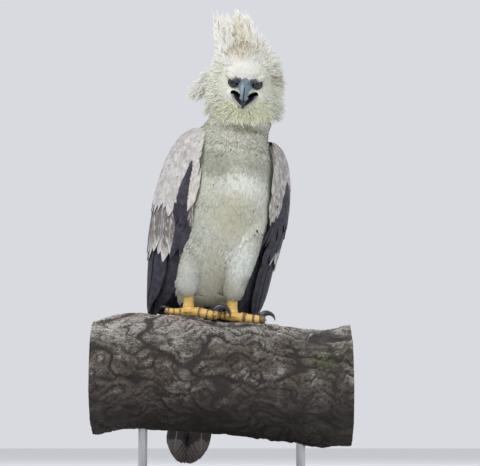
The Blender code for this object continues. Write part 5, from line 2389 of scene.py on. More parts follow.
@dataclass
class Eye:
    """An eyeball in the head, with the lids that close round it.

    The lids reach so far to the sides, up and down.
    """

    side: Side
    place: Place = (0.0285, -0.0535, 0.004)
    radius: float = 0.0130
    lid: float = 0.0011
    lid_reach: tuple[float, float, float] = (0.0114, 0.0068, 0.0100)
    lid_ahead: float = 0.0082
    lid_slant: float = -30.0

    def frame(self, turn_out: float = 0.0) -> Matrix:
        """A frame at the eye, its Y axis looking in at the head.

        Args:
            turn_out: Degrees that it is turned out to the side.

        Returns:
            The frame.
        """
        x, y, z = self.place
        turn = Matrix.Rotation(self.side.value * math.radians(turn_out), 4, "Z")
        return FACE @ Matrix.Translation((self.side.value * x, y, z)) @ turn

    def build(self) -> list[bpy.types.Object]:
        """Makes the eyeball and its lids.

        Returns:
            The two objects.
        """
        look = self.frame(14)
        eyeball = ball(f"eyeball_{self.side.word}", look, (self.radius,) * 3, 48)
        local = into(look, places_of(eyeball.data))
        away = np.hypot(local[:, 0], local[:, 2]) / self.radius
        turn = np.arctan2(local[:, 2], local[:, 0])
        lay_mark(eyeball.data, "mark", np.stack((away, turn, 0 * turn), axis=1))
        gloss = EyeGloss()
        rim = made_once("lid_skin", gloss.rim)
        return [
            dressed(eyeball, gloss.material(), [f"eye_{self.side.word}"]),
            dressed(self.lids(), rim, []),
        ]

    def lids(self) -> bpy.types.Object:
        """The thick rim of bare skin, slanting down towards the bill.

        Returns:
            The object.
        """
        turn = Matrix.Rotation(self.side.value * math.radians(self.lid_slant), 4, "Y")
        slant = self.frame(26) @ turn
        turns = around(40)
        out = np.stack((np.cos(turns), 0 * turns, np.sin(turns)), axis=1)
        wide, above, below = self.lid_reach
        high = np.where(np.sin(turns) > 0, above, below)
        middle = out * np.stack((0 * high + wide, 0 * high, high), axis=1)
        middle = middle + np.array((0, -self.lid_ahead, 0))
        thick = self.lid * (1 + 0.18 * np.sin(turns))
        ahead = np.broadcast_to((0.0, -1.0, 0.0), out.shape)
        rings = ellipses(middle, out, ahead, thick, thick * 1.3, 12)
        closed = np.concatenate((rings, rings[:1]))
        return loft(f"lids_{self.side.word}", carry(slant, closed), capped=False)


# Wings


class Vane(Enum):
    """The kinds of feathers on a wing."""

    PRIMARY = "primary"
    INNER = "inner"
    SECONDARY = "secondary"
    GREATER = "greater"
    ALULA = "alula"
    MEDIAN = "median"
    SMALL = "small"

    @property
    def flight(self) -> bool:
        """Whether it is one of the long dark flight feathers."""
        return self in (Vane.PRIMARY, Vane.INNER, Vane.SECONDARY)


@dataclass(frozen=True)
class Tier:
    """One row of feathers down the wing, in shares of its span and heights in metres."""

    kind: Vane
    count: int
    first: float
    last: float
    root: float
    tip: float
    wave: float
    width: float
    out: float
    drift: float = 0.0
    sink: float = 0.010
    tip_slope: float = 0.0
    dull: float = 0.0


@dataclass(frozen=True)
class Fold:
    """What differs between the two wings: how each is held, its dark strip and its painted shade.

    Rows of the strip are (height, first share, last share). A set-back is in degrees, and the last
    three values dull the feathers with painted shade, as the left wing lies in shadow.
    """

    strip: Curve
    swell: float = 0.0
    set_back: float = 0.0
    stand_off: float = 0.0
    lead: float = 0.0
    lowered: float = 0.0
    lowered_first: float = 0.0
    wear_and_shade: float = 0.0
    shade_dimming: float = 0.0
    shaded: float = 0.0


FOLDS: dict[Side, Fold] = {
    Side.RIGHT: Fold(
        Curve(
            (
                (0.120, -0.060, 0.100),
                (0.180, -0.040, 0.095),
                (0.215, 0.006, 0.090),
                (0.245, 0.016, 0.092),
                (0.280, 0.030, 0.105),
                (0.310, 0.042, 0.100),
                (0.335, 0.050, 0.088),
                (0.362, 0.058, 0.070),
            )
        ),
        stand_off=0.0130,
        lead=0.030,
    ),
    Side.LEFT: Fold(
        Curve(
            (
                (0.120, -0.060, 0.200),
                (0.185, -0.050, 0.220),
                (0.200, -0.045, 0.300),
                (0.212, -0.040, 0.340),
                (0.236, -0.020, 0.330),
                (0.248, 0.010, 0.300),
                (0.280, 0.070, 0.250),
                (0.320, 0.090, 0.250),
                (0.345, 0.110, 0.200),
                (0.362, 0.130, 0.150),
            )
        ),
        swell=0.011,
        set_back=16.0,
        lead=-0.020,
        lowered=0.026,
        lowered_first=0.10,
        # Painted shade: the left wing lies in shadow, so these three values dull its feathers.
        wear_and_shade=0.35,
        shade_dimming=0.25,
        shaded=0.55,
    ),
}


@dataclass
class Wing:
    """A folded wing: its arm, small coverts, and tiers of coverts and flight feathers.

    Rows of the form are (height, half width, depth in front, depth behind, middle), those of the
    edges are (height, first angle, last angle), and insets are (height, how far the arm is inside).
    """

    side: Side
    body: Body
    leaf: Sheaf = Sheaf(13, 7, True)
    thick: float = 0.0010
    form: Curve = Curve(
        (
            (-0.110, 0.088, 0.030, 0.022, 0.186),
            (-0.050, 0.112, 0.045, 0.034, 0.158),
            (0.000, 0.132, 0.058, 0.058, 0.120),
            (0.060, 0.147, 0.075, 0.082, 0.086),
            (0.120, 0.157, 0.088, 0.101, 0.068),
            (0.180, 0.163, 0.096, 0.113, 0.053),
            (0.240, 0.165, 0.106, 0.118, 0.041),
            (0.300, 0.162, 0.114, 0.119, 0.032),
            (0.350, 0.155, 0.110, 0.116, 0.026),
            (0.390, 0.145, 0.098, 0.105, 0.021),
            (0.420, 0.132, 0.083, 0.090, 0.017),
            (0.440, 0.117, 0.068, 0.074, 0.014),
            (0.452, 0.101, 0.050, 0.056, 0.012),
        )
    )
    edges: Curve = Curve(
        (
            (-0.110, 30.0, 76.0),
            (-0.050, 4.0, 80.0),
            (0.000, -34.0, 82.0),
            (0.040, -50.0, 83.0),
            (0.080, -58.0, 83.0),
            (0.120, -62.0, 84.0),
            (0.160, -64.0, 84.0),
            (0.200, -63.0, 84.0),
            (0.240, -61.0, 84.0),
            (0.300, -61.0, 83.0),
            (0.350, -60.0, 82.0),
            (0.390, -57.0, 79.0),
            (0.420, -54.0, 75.0),
            (0.440, -48.0, 66.0),
            (0.452, -38.0, 52.0),
        )
    )
    insets: Curve = Curve(
        (
            (0.135, 0.0260),
            (0.180, 0.0230),
            (0.235, 0.0160),
            (0.285, 0.0112),
            (0.335, 0.0080),
            (0.452, 0.0065),
        )
    )
    tiers: tuple[Tier, ...] = (
        Tier(Vane.PRIMARY, 8, 0.02, 0.22, 0.230, -0.105, 0.0, 0.034, -0.0235, 0.75, 0.006, 0.072),
        Tier(Vane.INNER, 7, 0.01, 0.20, 0.250, -0.020, 0.0, 0.034, -0.0205, 0.05, 0.006, 0.030),
        Tier(Vane.SECONDARY, 14, 0.20, 0.95, 0.235, -0.012, 0.004, 0.046, -0.0085, 0, 0.010, 0.010),
        Tier(Vane.GREATER, 16, 0.02, 0.97, 0.285, 0.126, 0.010, 0.036, -0.0040, 0, 0.010, 0, 1.30),
        Tier(Vane.ALULA, 3, 0.035, 0.085, 0.340, 0.190, 0.0, 0.022, -0.0015, 0.0, 0.006, 0.020),
        Tier(Vane.MEDIAN, 16, 0.02, 0.97, 0.345, 0.230, 0.008, 0.034, -0.0010, 0, 0.008, 0, 0.22),
    )

    covert_rows: tuple[float, float, float] = (0.250, 0.462, 0.0095)
    covert_length: tuple[float, float] = (0.030, 0.040)
    covert_half: float = 0.0098
    covert_thick: float = 0.0006
    shoulder: float = 0.452
    seed: int = 40

    @property
    def fold(self) -> Fold:
        """How this wing is held."""
        return FOLDS[self.side]

    def covers(self, points: Array) -> Array:
        """Which world points of the body lie below the folded wing.

        Args:
            points: World points on the body.

        Returns:
            A flag for each.
        """
        local = into(TRUNK, points)
        found = self.form.at(local[:, 2])
        side = self.side.value * local[:, 0]
        away = local[:, 1] - found[:, 3]
        depth = np.where(away > 0, found[:, 2], found[:, 1])
        angle = np.arctan2(away / depth, side / found[:, 0])
        low, span = self.turn(np.zeros(len(points)), local[:, 2])
        share = (angle - low) / span
        deep = np.hypot(away / depth, side / found[:, 0]) < 1.0
        high = (local[:, 2] > 0.0) & (local[:, 2] < 0.425)
        return (share > 0.030) & (share < 0.97) & high & deep & (side > 0)

    def point(self, turn: Array, height: Array, out: Any) -> Array:
        """Places on the folded wings' outer form.

        Args:
            turn: Angles from the side, towards the back.
            height: Heights.
            out: How far out of the form.

        Returns:
            World points.
        """
        found = self.form.at(height)
        half, front, behind, middle = (found[..., k] for k in range(4))
        swell = self.fold.swell * (1 + 0.75 * eased(0.17, 0.05, height))
        half = half + swell * eased(-0.10, -0.02, height)
        depth = np.where(turn > 0, behind, front)
        across, along = np.cos(turn), np.sin(turn)
        hand = self.side.value
        place = np.stack((hand * half * across, middle + depth * along, height), axis=-1)
        normal = unit(np.stack((hand * across / half, along / depth, 0 * half), axis=-1))
        return carry(TRUNK, place + normal * np.asarray(out)[..., None])

    def turn(self, share: Array, height: Array) -> tuple[Array, Array]:
        """The angle at a share of the span, and the span there.

        Args:
            share: Shares of the way from the leading to the hind edge.
            height: Heights on the wing.

        Returns:
            The angles and the spans, in radians.
        """
        span = self.edges.at(height)
        back = self.fold.set_back * eased(0.12, 0.26, height)
        low, high = np.radians(span[..., 0] + back), np.radians(span[..., 1])
        return low + share * (high - low), high - low

    def lift(self, share: Array, height: Array) -> Array:
        """How far the leading edge stands off the flank.

        Args:
            share: Shares of the way from the leading to the hind edge.
            height: Heights on the wing.

        Returns:
            Distances in metres.
        """
        low = eased(0.02, 0.12, height) * eased(0.34, 0.26, height)
        return self.fold.stand_off * eased(0.24, 0.0, share) * low

    def speed(self, turn: Array, height: Array) -> Array:
        """How far the form runs for each radian.

        Args:
            turn: Angles from the side, towards the back.
            height: Heights on the wing.

        Returns:
            Metres for each radian.
        """
        found = self.form.at(height)
        depth = np.where(turn > 0, found[..., 2], found[..., 1])
        return np.hypot(found[..., 0] * np.sin(turn), depth * np.cos(turn))

    def darkness(self, share: Array, height: Array, kind: Vane) -> tuple[Array, Array]:
        """How dark the plumage is, and how warm, at places of one kind of feather.

        Args:
            share: Share of the way from the leading to the hind edge.
            height: Height on the wing.
            kind: The kind of feather.

        Returns:
            Two arrays from 0 to 1.
        """
        share, height = np.broadcast_arrays(share, height)
        if kind.flight:
            return np.ones_like(share), np.zeros_like(share)
        low, high = np.moveaxis(self.fold.strip.at(height), -1, 0)
        strip = eased(low - 0.008, low + 0.008, share) * eased(high + 0.012, high - 0.012, share)
        dark = strip * eased(0.368, 0.352, height)
        if kind is Vane.ALULA:
            dark = np.maximum(dark, 0.9)
        fringe = eased(0.06, 0.02, share) * (1 - dark)
        return dark, np.clip(fringe, 0, 1)

    def outline(self, along: Array, kind: Vane) -> Array:
        """Width of a stiff feather along its length, as a share of its widest.

        Args:
            along: Places along it, from 0 to 1.
            kind: The kind of feather.

        Returns:
            Its width there.
        """
        if kind.flight:
            body = 0.50 + 0.50 * eased(0.0, 0.5, along)
            return body * (1 - 0.72 * eased(0.78, 1.0, along) ** 1.3)
        body = 0.60 + 0.40 * eased(0.0, 0.45, along)
        return body * np.sqrt(np.maximum(1 - eased(0.62, 1.02, along) ** 1.6, 0.03))

    def tier_rows(self, tier: Tier, flock: Flock, chance: np.random.Generator, row: int) -> None:
        """Adds the feathers of one tier.

        Args:
            tier: The tier.
            flock: Where they go.
            chance: The generator of their small differences.
            row: Row of the bake map that they use.
        """
        along, across = self.leaf.grid()
        step = (tier.last - tier.first) / max(tier.count - 1, 1)
        fold = self.fold
        for i in range(tier.count):
            share = tier.first + step * i
            tip = tier.tip + tier.wave * math.cos(1.7 * i) + tier.tip_slope * i / tier.count
            if tier.kind is Vane.GREATER:
                tip += fold.lowered + fold.lowered_first * (share < 0.14)
            tip += chance.normal(0, 0.003)
            height = tier.root + (tip - tier.root) * along
            place = share + tier.drift * (tier.root - height)
            centre, span = self.turn(place, height)
            speed = self.speed(centre, height)
            spacing = step * span * speed
            half = np.minimum(tier.width / 2, 1.9 * spacing) * self.outline(along, tier.kind)
            ragged = 1 + chance.normal(0, 0.045, along.shape) * (np.abs(across) > 0.99)
            angle = centre + across * half * ragged / speed
            level = tier.out - tier.sink * (1 - eased(0.0, 0.24, along))
            raised = level - across * 0.0018 + 0.0007 * np.exp(-((across / 0.12) ** 2))
            raised = raised + chance.normal(0, 0.0006) - 0.0010 * across**2
            raised = raised + self.lift(place, height)
            tips = chance.normal(0, 0.0015, along.shape) * (along > 0.75)
            top = self.point(angle, height + tips, raised)
            low = self.leaf.under_columns()
            under = self.point(angle[:, low], (height + tips)[:, low], raised[:, low] - self.thick)
            dark, warm = self.darkness(place + across * half / (speed * span), height, tier.kind)
            # Dull towards each feather's base by its tier, and duller on the left wing as painted
            # shade.
            dull = (tier.dull + fold.wear_and_shade) * eased(0.92, 0.70, along)
            dull = dull * chance.uniform(0.6, 1.0) + fold.shade_dimming
            marks = np.stack((dark, warm, dull), axis=-1)
            facing = unit(self.point(angle, height, raised + 0.01) - top)
            wide = 0.9 / tier.count
            patch = np.array([[0.05 + wide * i, 0.05 + 0.15 * row, wide * 0.8, 0.12]])
            flock.add(
                top[None], under[None], top[0, 3][None], np.array([chance.random()]), patch,
                marks[None], facing[None],
            )

    def small_coverts(self, flock: Flock, chance: np.random.Generator) -> None:
        """Adds the short scale-like feathers of the shoulder and arm.

        Args:
            flock: Where they go.
            chance: The generator of their small differences.
        """
        along, across = flock.leaf.grid()
        low = flock.leaf.under_columns()
        tips = np.arange(*self.covert_rows)
        lead = self.fold.lead
        for number, tip in enumerate(tips):
            mid = min(tip, 0.448)
            _, span = self.turn(0.5, np.array(mid))
            wide = float(span * self.speed(np.array(0.6), np.array(mid)))
            count = int(wide / 0.0125)
            for i in range(count + 1):
                share = (i + 0.5 * (number % 2)) / count + chance.normal(0, 0.010)
                share = float(np.clip(lead + (1 - lead) * share, lead, 1.0))
                length = chance.uniform(*self.covert_length)
                length = length * (0.75 + 0.25 * eased(0.46, 0.40, tip))
                end = tip + chance.normal(0, 0.0025)
                height = end + length * (1 - along)
                over = np.maximum(height - self.shoulder, 0.0)
                height = np.minimum(height, self.shoulder)
                centre, span = self.turn(np.full(along.shape, share), height)
                speed = np.maximum(self.speed(centre, height), 0.04)
                half = self.covert_half * self.outline(along, Vane.SMALL)
                angle = centre + across * half / speed
                level = 0.0006 - 0.0060 * (1 - eased(0.0, 0.55, along)) - over * 0.7
                level = level - 0.0008 * across**2 + chance.normal(0, 0.0005)
                level = level + self.lift(np.full(along.shape, share), height)
                top = self.point(angle, height, level)
                below = level[:, low] - self.covert_thick
                under = self.point(angle[:, low], height[:, low], below)
                at = share + across * half / (speed * span)
                dark, warm = self.darkness(at, height, Vane.SMALL)
                # Dull towards each covert's base, and on the left wing painted shade over the whole
                # feather.
                dull = eased(0.75, 0.35, along) * chance.uniform(0.0, 0.5) + self.fold.shaded
                marks = np.stack((dark, warm, dull), axis=-1)
                facing = unit(self.point(angle, height, level + 0.01) - top)
                patch = np.array([[0.03 + 0.93 * share, (tip + 0.2) / 0.7, TUFT_PATCH, TUFT_PATCH]])
                flock.add(
                    top[None], under[None], top[0, 1][None], np.array([chance.random()]), patch,
                    marks[None], facing[None],
                )

    def arm(self) -> bpy.types.Object:
        """The solid of the folded arm below its feathers.

        Returns:
            The object.
        """
        heights = np.linspace(0.150, 0.448, 26)
        loops = []
        for height in heights:
            inset = float(self.insets.at(height)[0])
            thick = 0.004 + 0.044 * float(eased(0.14, 0.21, height))
            share = np.linspace(0.03, 0.975, 26)
            edge = np.minimum(np.minimum(share / 0.10, (1 - share) / 0.06), 1.0)
            corner = 1 - np.sqrt(np.maximum(1 - (1 - edge) ** 2, 0))
            corner = corner * min(thick * 0.45, 0.010)
            level = np.full(share.shape, height)
            turn, _ = self.turn(share, level)
            stand = self.lift(share, level)
            outer = self.point(turn, level, -inset - corner + stand)
            inner = self.point(turn, level, -inset - thick + corner * 0.4)
            loops.append(np.concatenate((outer, inner[::-1])))
        made = loft(f"wing_arm_{self.side.word}", np.array(loops))
        local = into(TRUNK, places_of(made.data))
        found = self.form.at(local[:, 2])
        flat = np.arctan2(
            (local[:, 1] - found[:, 3]) / found[:, 1], self.side.value * local[:, 0] / found[:, 0]
        )
        span = self.edges.at(local[:, 2])
        share = (np.degrees(flat) - span[:, 0]) / (span[:, 1] - span[:, 0])
        dark, warm = self.darkness(share, local[:, 2], Vane.SMALL)
        lay_mark(made.data, "mark", np.stack((dark, warm, 0 * dark), axis=1))
        lay_mark(made.data, "lay", np.stack((share, 0 * share + 0.5, 0 * share + 0.5), axis=1))
        return made

    def build(self) -> list[bpy.types.Object]:
        """Makes the arm, the small coverts and the tiers.

        Returns:
            The three objects.
        """
        chance = np.random.default_rng(self.seed + self.side.value)
        finish = made_once("plumage_wing", FlightPlumage().coat)
        word = self.side.word
        long = Flock(f"wing_vanes_{word}", self.leaf, soft=0.5)
        for row, tier in enumerate(self.tiers):
            self.tier_rows(tier, long, chance, row)
        small = Flock(f"wing_coverts_{word}", Sheaf(6, 5), soft=0.8)
        self.small_coverts(small, chance)
        return [
            dressed(self.arm(), finish, [f"wing_{word}"]),
            dressed(long.mesh(), finish, []),
            dressed(small.mesh(), finish, []),
        ]


# Tail


@dataclass
class Tail:
    """Twelve long barred feathers under their coverts.

    Rows of coverts are (depth, length, rise of each row over the last).
    """

    root: Place = (-0.056, 0.115, 0.048 + DATUM)
    tip: Place = (-0.093, 0.236, -0.362 + DATUM)
    leaf: Sheaf = Sheaf(28, 7, True)
    thick: float = 0.0011
    width: float = 0.050
    covert_width: float = 0.026
    covert_rows: tuple[Place, ...] = ((0.0175, 0.160, 0.0016), (-0.0145, 0.140, -0.0014))
    rump_rows: tuple[tuple[float, float, float, float], ...] = (
        (0.035, 0.026, 0.016, 0.0),
        (0.010, 0.036, 0.020, 0.001),
        (-0.030, 0.038, 0.018, 0.001),
        (-0.070, 0.034, 0.012, 0.002),
        (-0.110, 0.026, 0.007, 0.003),
    )
    heading: float = 10.0
    seed: int = 71

    def frame(self) -> Matrix:
        """The tail's frame: X across, Y out behind it, Z from its tip to its root.

        Returns:
            The frame.
        """
        along = (Vector(self.root) - Vector(self.tip)).normalized()
        turn = math.radians(self.heading)
        across = Vector((math.cos(turn), math.sin(turn), 0))
        across = (across - along * across.dot(along)).normalized()
        back = along.cross(across)
        axes = Matrix((across, back, along)).transposed().to_4x4()
        return Matrix.Translation(self.root) @ axes

    def vane(
        self, flock: Flock, chance: np.random.Generator, place: float, level: float,
        length: float, width: float, patch: Array, start: float = 0.02,
    ) -> None:
        """Adds one tail feather.

        Args:
            flock: Where it goes.
            chance: The generator of its small differences.
            place: How far across it lies at its tip.
            level: How far behind the tail's middle.
            length: Its length.
            width: Its width.
            patch: Its rectangle in the bake map.
            start: Where it begins, over the tail's root.
        """
        along, across = flock.leaf.grid()
        low = flock.leaf.under_columns()
        shape = 0.42 + 0.58 * eased(0.0, 0.55, along)
        shape = shape * np.sqrt(np.maximum(1 - eased(0.86, 1.01, along) ** 1.8, 0.02))
        ragged = 1 + chance.normal(0, 0.03, along.shape) * (np.abs(across) > 0.99)
        half = width / 2 * shape * ragged
        down = start - along * (length + start)
        down = down + chance.normal(0, 0.0012, along.shape) * (along > 0.9)
        lift = level + 0.006 * along**2 - 0.0012 * across**2
        lift = lift + 0.0006 * np.exp(-((across / 0.10) ** 2))
        aside = place * (0.35 + 0.65 * along) + half * across
        top = np.stack((aside, lift, down), axis=-1)
        under = top[:, low] - np.array((0, self.thick, 0))
        here = self.frame()
        flock.add(
            carry(here, top)[None], carry(here, under)[None], carry(here, top[0, 3])[None],
            np.array([chance.random()]), patch[None],
        )

    def rump(self) -> bpy.types.Object:
        """The solid below the coverts, as rows of (height, half width, half depth, middle).

        Returns:
            The object.
        """
        rows = np.array(self.rump_rows)
        path = np.stack((0 * rows[:, 0], rows[:, 3], rows[:, 0]), axis=1)
        across, back = (np.broadcast_to(way, path.shape) for way in ((1.0, 0, 0), (0, 1.0, 0)))
        rings = ellipses(path, across, back, rows[:, 1], rows[:, 2], 24)
        return loft("rump", carry(self.frame(), rings))

    def build(self) -> list[bpy.types.Object]:
        """Makes the feathers, their coverts and the rump.

        Returns:
            The three objects.
        """
        chance = np.random.default_rng(self.seed)
        flock = Flock("tail_vanes", self.leaf)
        length = (Vector(self.root) - Vector(self.tip)).length
        for i in range(6):
            for half, side in enumerate((-1, 1)):
                place = side * (0.006 + i * 0.0058)
                level = 0.0075 - (2 * i + half) * 0.001425
                patch = np.array((0.04 + 0.08 * (2 * i + half), 0.05, 0.065, 0.40))
                reach = length * (1 - 0.012 * i * i / 5)
                self.vane(flock, chance, place, level, reach, self.width, patch)
        covers = Flock("tail_coverts", Sheaf(12, 7, True))
        number = 0
        for level, reach, rise in self.covert_rows:
            for row in range(4):
                for i in range(7):
                    place = (-0.024 + 0.008 * i) * (1 - 0.1 * row)
                    patch = np.array((0.04 + 0.13 * i, 0.5 + 0.055 * (number // 7), 0.1, 0.045))
                    cut = reach * (1 - 0.20 * row) + chance.normal(0, 0.004)
                    lift = level + rise * (row + 0.35 * (i % 2))
                    self.vane(covers, chance, place, lift, cut, self.covert_width, patch)
                    number += 1
        rump = self.rump()
        finish = TailPlumage().coat()
        covert = made_once("plumage_white", Plumage().coat)
        return [
            dressed(flock.mesh(), finish, ["tail"]),
            dressed(covers.mesh(), covert, []),
            dressed(rump, bpy.data.materials["plumage_skin"], []),
        ]


# Limb and feet


@dataclass
class Limb:
    """The cut length of limb, its bark in cracked plates and its ends sawn.

    Rows of the form are (place, top, underside), and furrows are (number round the limb, length,
    strength).
    """

    form: Curve = Curve(
        (
            (-0.31, -0.007, -0.287),
            (-0.20, 0.0085, -0.278),
            (-0.10, 0.006, -0.279),
            (0.00, -0.006, -0.289),
            (0.10, -0.019, -0.3025),
            (0.20, -0.028, -0.315),
            (0.31, -0.021, -0.320),
        )
    )
    half_length: float = 0.31
    rings: int = 300
    sides: int = 230
    sunk: float = 0.004
    plate: tuple[int, float] = (46, 0.085)
    furrows: tuple[tuple[int, float, float], ...] = (
        (21, 0.105, 0.8),
        (48, 0.058, 0.9),
        (104, 0.026, 0.8),
    )

    def middle(self, across: Any) -> tuple[Array, Array]:
        """Height of the limb's middle over the datum, and its radius."""
        found = self.form.at(across)
        return found[..., :2].sum(axis=-1) / 2, (found[..., 0] - found[..., 1]) / 2

    def lump(self, across: Any, turn: Any) -> Any:
        """How far the bark stands out of the limb's even form, as in the CAD model.

        Args:
            across: Places along the limb.
            turn: Angles round it.

        Returns:
            Distances in metres.
        """
        return (
            0.0022 * np.sin(5 * turn + 21 * across)
            + 0.0018 * np.sin(9 * turn - 34 * across + 1.0)
            + 0.0014 * np.sin(47 * across + 3 * turn)
        )

    def point(self, across: Any, turn: Any, out: Any = 0.0) -> Array:
        """Places on the bark, at angles from the limb's top towards the back.

        Args:
            across: Places along the limb.
            turn: Angles round it.
            out: How far out of the bark's even form.

        Returns:
            World points.
        """
        middle, radius = self.middle(across)
        reach = radius + self.lump(across, turn) - self.sunk + out
        flat = (across + 0 * reach, reach * np.sin(turn), DATUM + middle + reach * np.cos(turn))
        return np.stack(flat, axis=-1)

    def cells(
        self, across: Array, turn: Array, number: int, long: float, seed: float
    ) -> tuple[Array, Array]:
        """A pattern of long cells that closes round the limb.

        Args:
            across: Places along the limb.
            turn: Angles round it.
            number: Number of cells round it.
            long: Their length.
            seed: Which pattern.

        Returns:
            Distance to the edge between cells, and a value of its own for each cell.
        """
        a, b = across / long, turn / (2 * math.pi) * number
        low_a, low_b = np.floor(a), np.floor(b)
        first = np.full(a.shape, 9.0)
        second = np.full(a.shape, 9.0)
        own = np.zeros(a.shape)
        for da in (-1, 0, 1):
            for db in (-1, 0, 1):
                ca, cb = low_a + da, low_b + db
                wrap = np.mod(cb, number)
                away = np.hypot(
                    ca + shaken(ca, wrap, seed) - a, cb + shaken(ca, wrap, seed + 1) - b
                )
                nearer = away < first
                second = np.where(nearer, first, np.minimum(second, away))
                own = np.where(nearer, shaken(ca, wrap, seed + 2), own)
                first = np.where(nearer, away, first)
        return second - first, own

    def drift(self, across: Array, turn: Array, number: int, long: float, seed: float) -> Array:
        """Smooth noise that closes round the limb.

        Args:
            across: Places along the limb.
            turn: Angles round it.
            number: Number of waves round it.
            long: Their length.
            seed: Which noise.

        Returns:
            Values from 0 to 1.
        """
        a, b = across / long, turn / (2 * math.pi) * number
        low_a, low_b = np.floor(a), np.floor(b)
        fa, fb = eased(0, 1, a - low_a), eased(0, 1, b - low_b)

        def corner(da: int, db: int) -> Array:
            """The value at one corner of each place's square."""
            return shaken(low_a + da, np.mod(low_b + db, number), seed)

        near = corner(0, 0) * (1 - fb) + corner(0, 1) * fb
        far = corner(1, 0) * (1 - fb) + corner(1, 1) * fb
        return near * (1 - fa) + far * fa

    def bark(self, across: Array, turn: Array) -> tuple[Array, Array, Array]:
        """Relief of the bark.

        Args:
            across: Places along the limb.
            turn: Angles round it.

        Returns:
            How far it stands out, how deep the cracks are from 0 to 1, and each plate's tone.
        """
        warp = across + 0.020 * np.sin(3 * turn + 9 * across) + 0.012 * np.sin(11 * turn)
        swirl = turn + 0.11 * np.sin(16 * across + 2 * turn) + 0.05 * np.sin(49 * across)
        shift = self.drift(across, turn, 30, 0.040, 21.0) - 0.5
        edge, own = self.cells(warp + 0.05 * shift, swirl + 0.25 * shift, *self.plate, 3.0)
        crack = 0.7 * np.exp(-((edge / 0.10) ** 2))
        ridges = 0 * across
        for k, (number, long, share) in enumerate(self.furrows):
            level = self.drift(warp, swirl + 0.3 * shift, number, long, 30.0 + k)
            valley = abs(2 * level - 1)
            ridges = ridges + share * (np.minimum(valley * 1.8, 1.0) - 0.6)
            crack = np.maximum(crack, (1.0 - 0.22 * k) * np.exp(-((valley / 0.13) ** 2)))
        fine = self.drift(across, turn, 110, 0.012, 50.0)
        relief = 0.0026 * (own - 0.5) + 0.0020 * ridges + 0.0014 * (fine - 0.5)
        relief = relief - 0.0042 * crack
        tone = 0.45 * own + 0.35 * fine + 0.20 * np.clip(ridges + 0.5, 0, 1)
        return relief + 0.0004, np.clip(crack, 0, 1), tone

    def build(self) -> bpy.types.Object:
        """Makes the limb's bark and its sawn ends.

        Returns:
            The object.
        """
        turns = around(self.sides)
        places = np.linspace(-self.half_length, self.half_length, self.rings)
        grid_x, grid_t = np.meshgrid(places, turns, indexing="ij")
        relief, crack, tone = self.bark(grid_x, grid_t)
        rings = self.point(grid_x, grid_t, relief)
        marks = np.stack((crack, tone, 0 * tone), axis=-1)
        first, last = self._sawn(rings[0]), self._sawn(rings[-1])
        caps = np.zeros((len(first), self.sides, 3)) + np.array((0.0, 0.5, 1.0))
        rings = np.concatenate((first[::-1], rings, last))
        marks = np.concatenate((caps, marks, caps))
        made = loft("limb_bark", rings)
        lay_mark(made.data, "mark", marks.reshape(-1, 3))
        return dressed(made, BarkFinish().material(), ["perch_limb"])

    def _sawn(self, rim: Array) -> Array:
        """Rings of a sawn end, from its rim inwards, a little uneven.

        Args:
            rim: The end ring of the bark.

        Returns:
            The rings, (ring, side, 3).
        """
        middle = rim.mean(axis=0)
        shares = (0.985, 0.94, 0.85, 0.72, 0.58, 0.44, 0.30, 0.16, 0.04)
        return np.stack([middle + (rim - middle) * share for share in shares])


@dataclass(frozen=True)
class Stance:
    """Where one foot stands, how dirty its joints are, and its toes.

    Each toe is (heading, length, radius, curl of its claw, its run, its rise), with angles in
    degrees.
    """

    middle: tuple[float, float]
    stain: float
    toes: tuple[tuple[float, float, float, float, float, float], ...]


STANCES: dict[Side, Stance] = {
    Side.RIGHT: Stance(
        (-0.081, -0.010),
        0.85,
        (
            (-78, 0.052, 0.0085, 0.016, 0.022, 50),
            (80, 0.066, 0.0125, 0.0205, 0.064, 78),
            (128, 0.050, 0.0112, 0.024, 0.056, 60),
            (196, 0.040, 0.0118, 0.027, 0.070, 60),
        ),
    ),
    Side.LEFT: Stance(
        (0.024, -0.008),
        1.10,
        (
            (112, 0.060, 0.0100, 0.020, 0.040, 60),
            (84, 0.074, 0.0120, 0.018, 0.050, 66),
            (-100, 0.034, 0.0105, 0.018, 0.036, 60),
            (178, 0.040, 0.0118, 0.027, 0.070, 60),
        ),
    ),
}


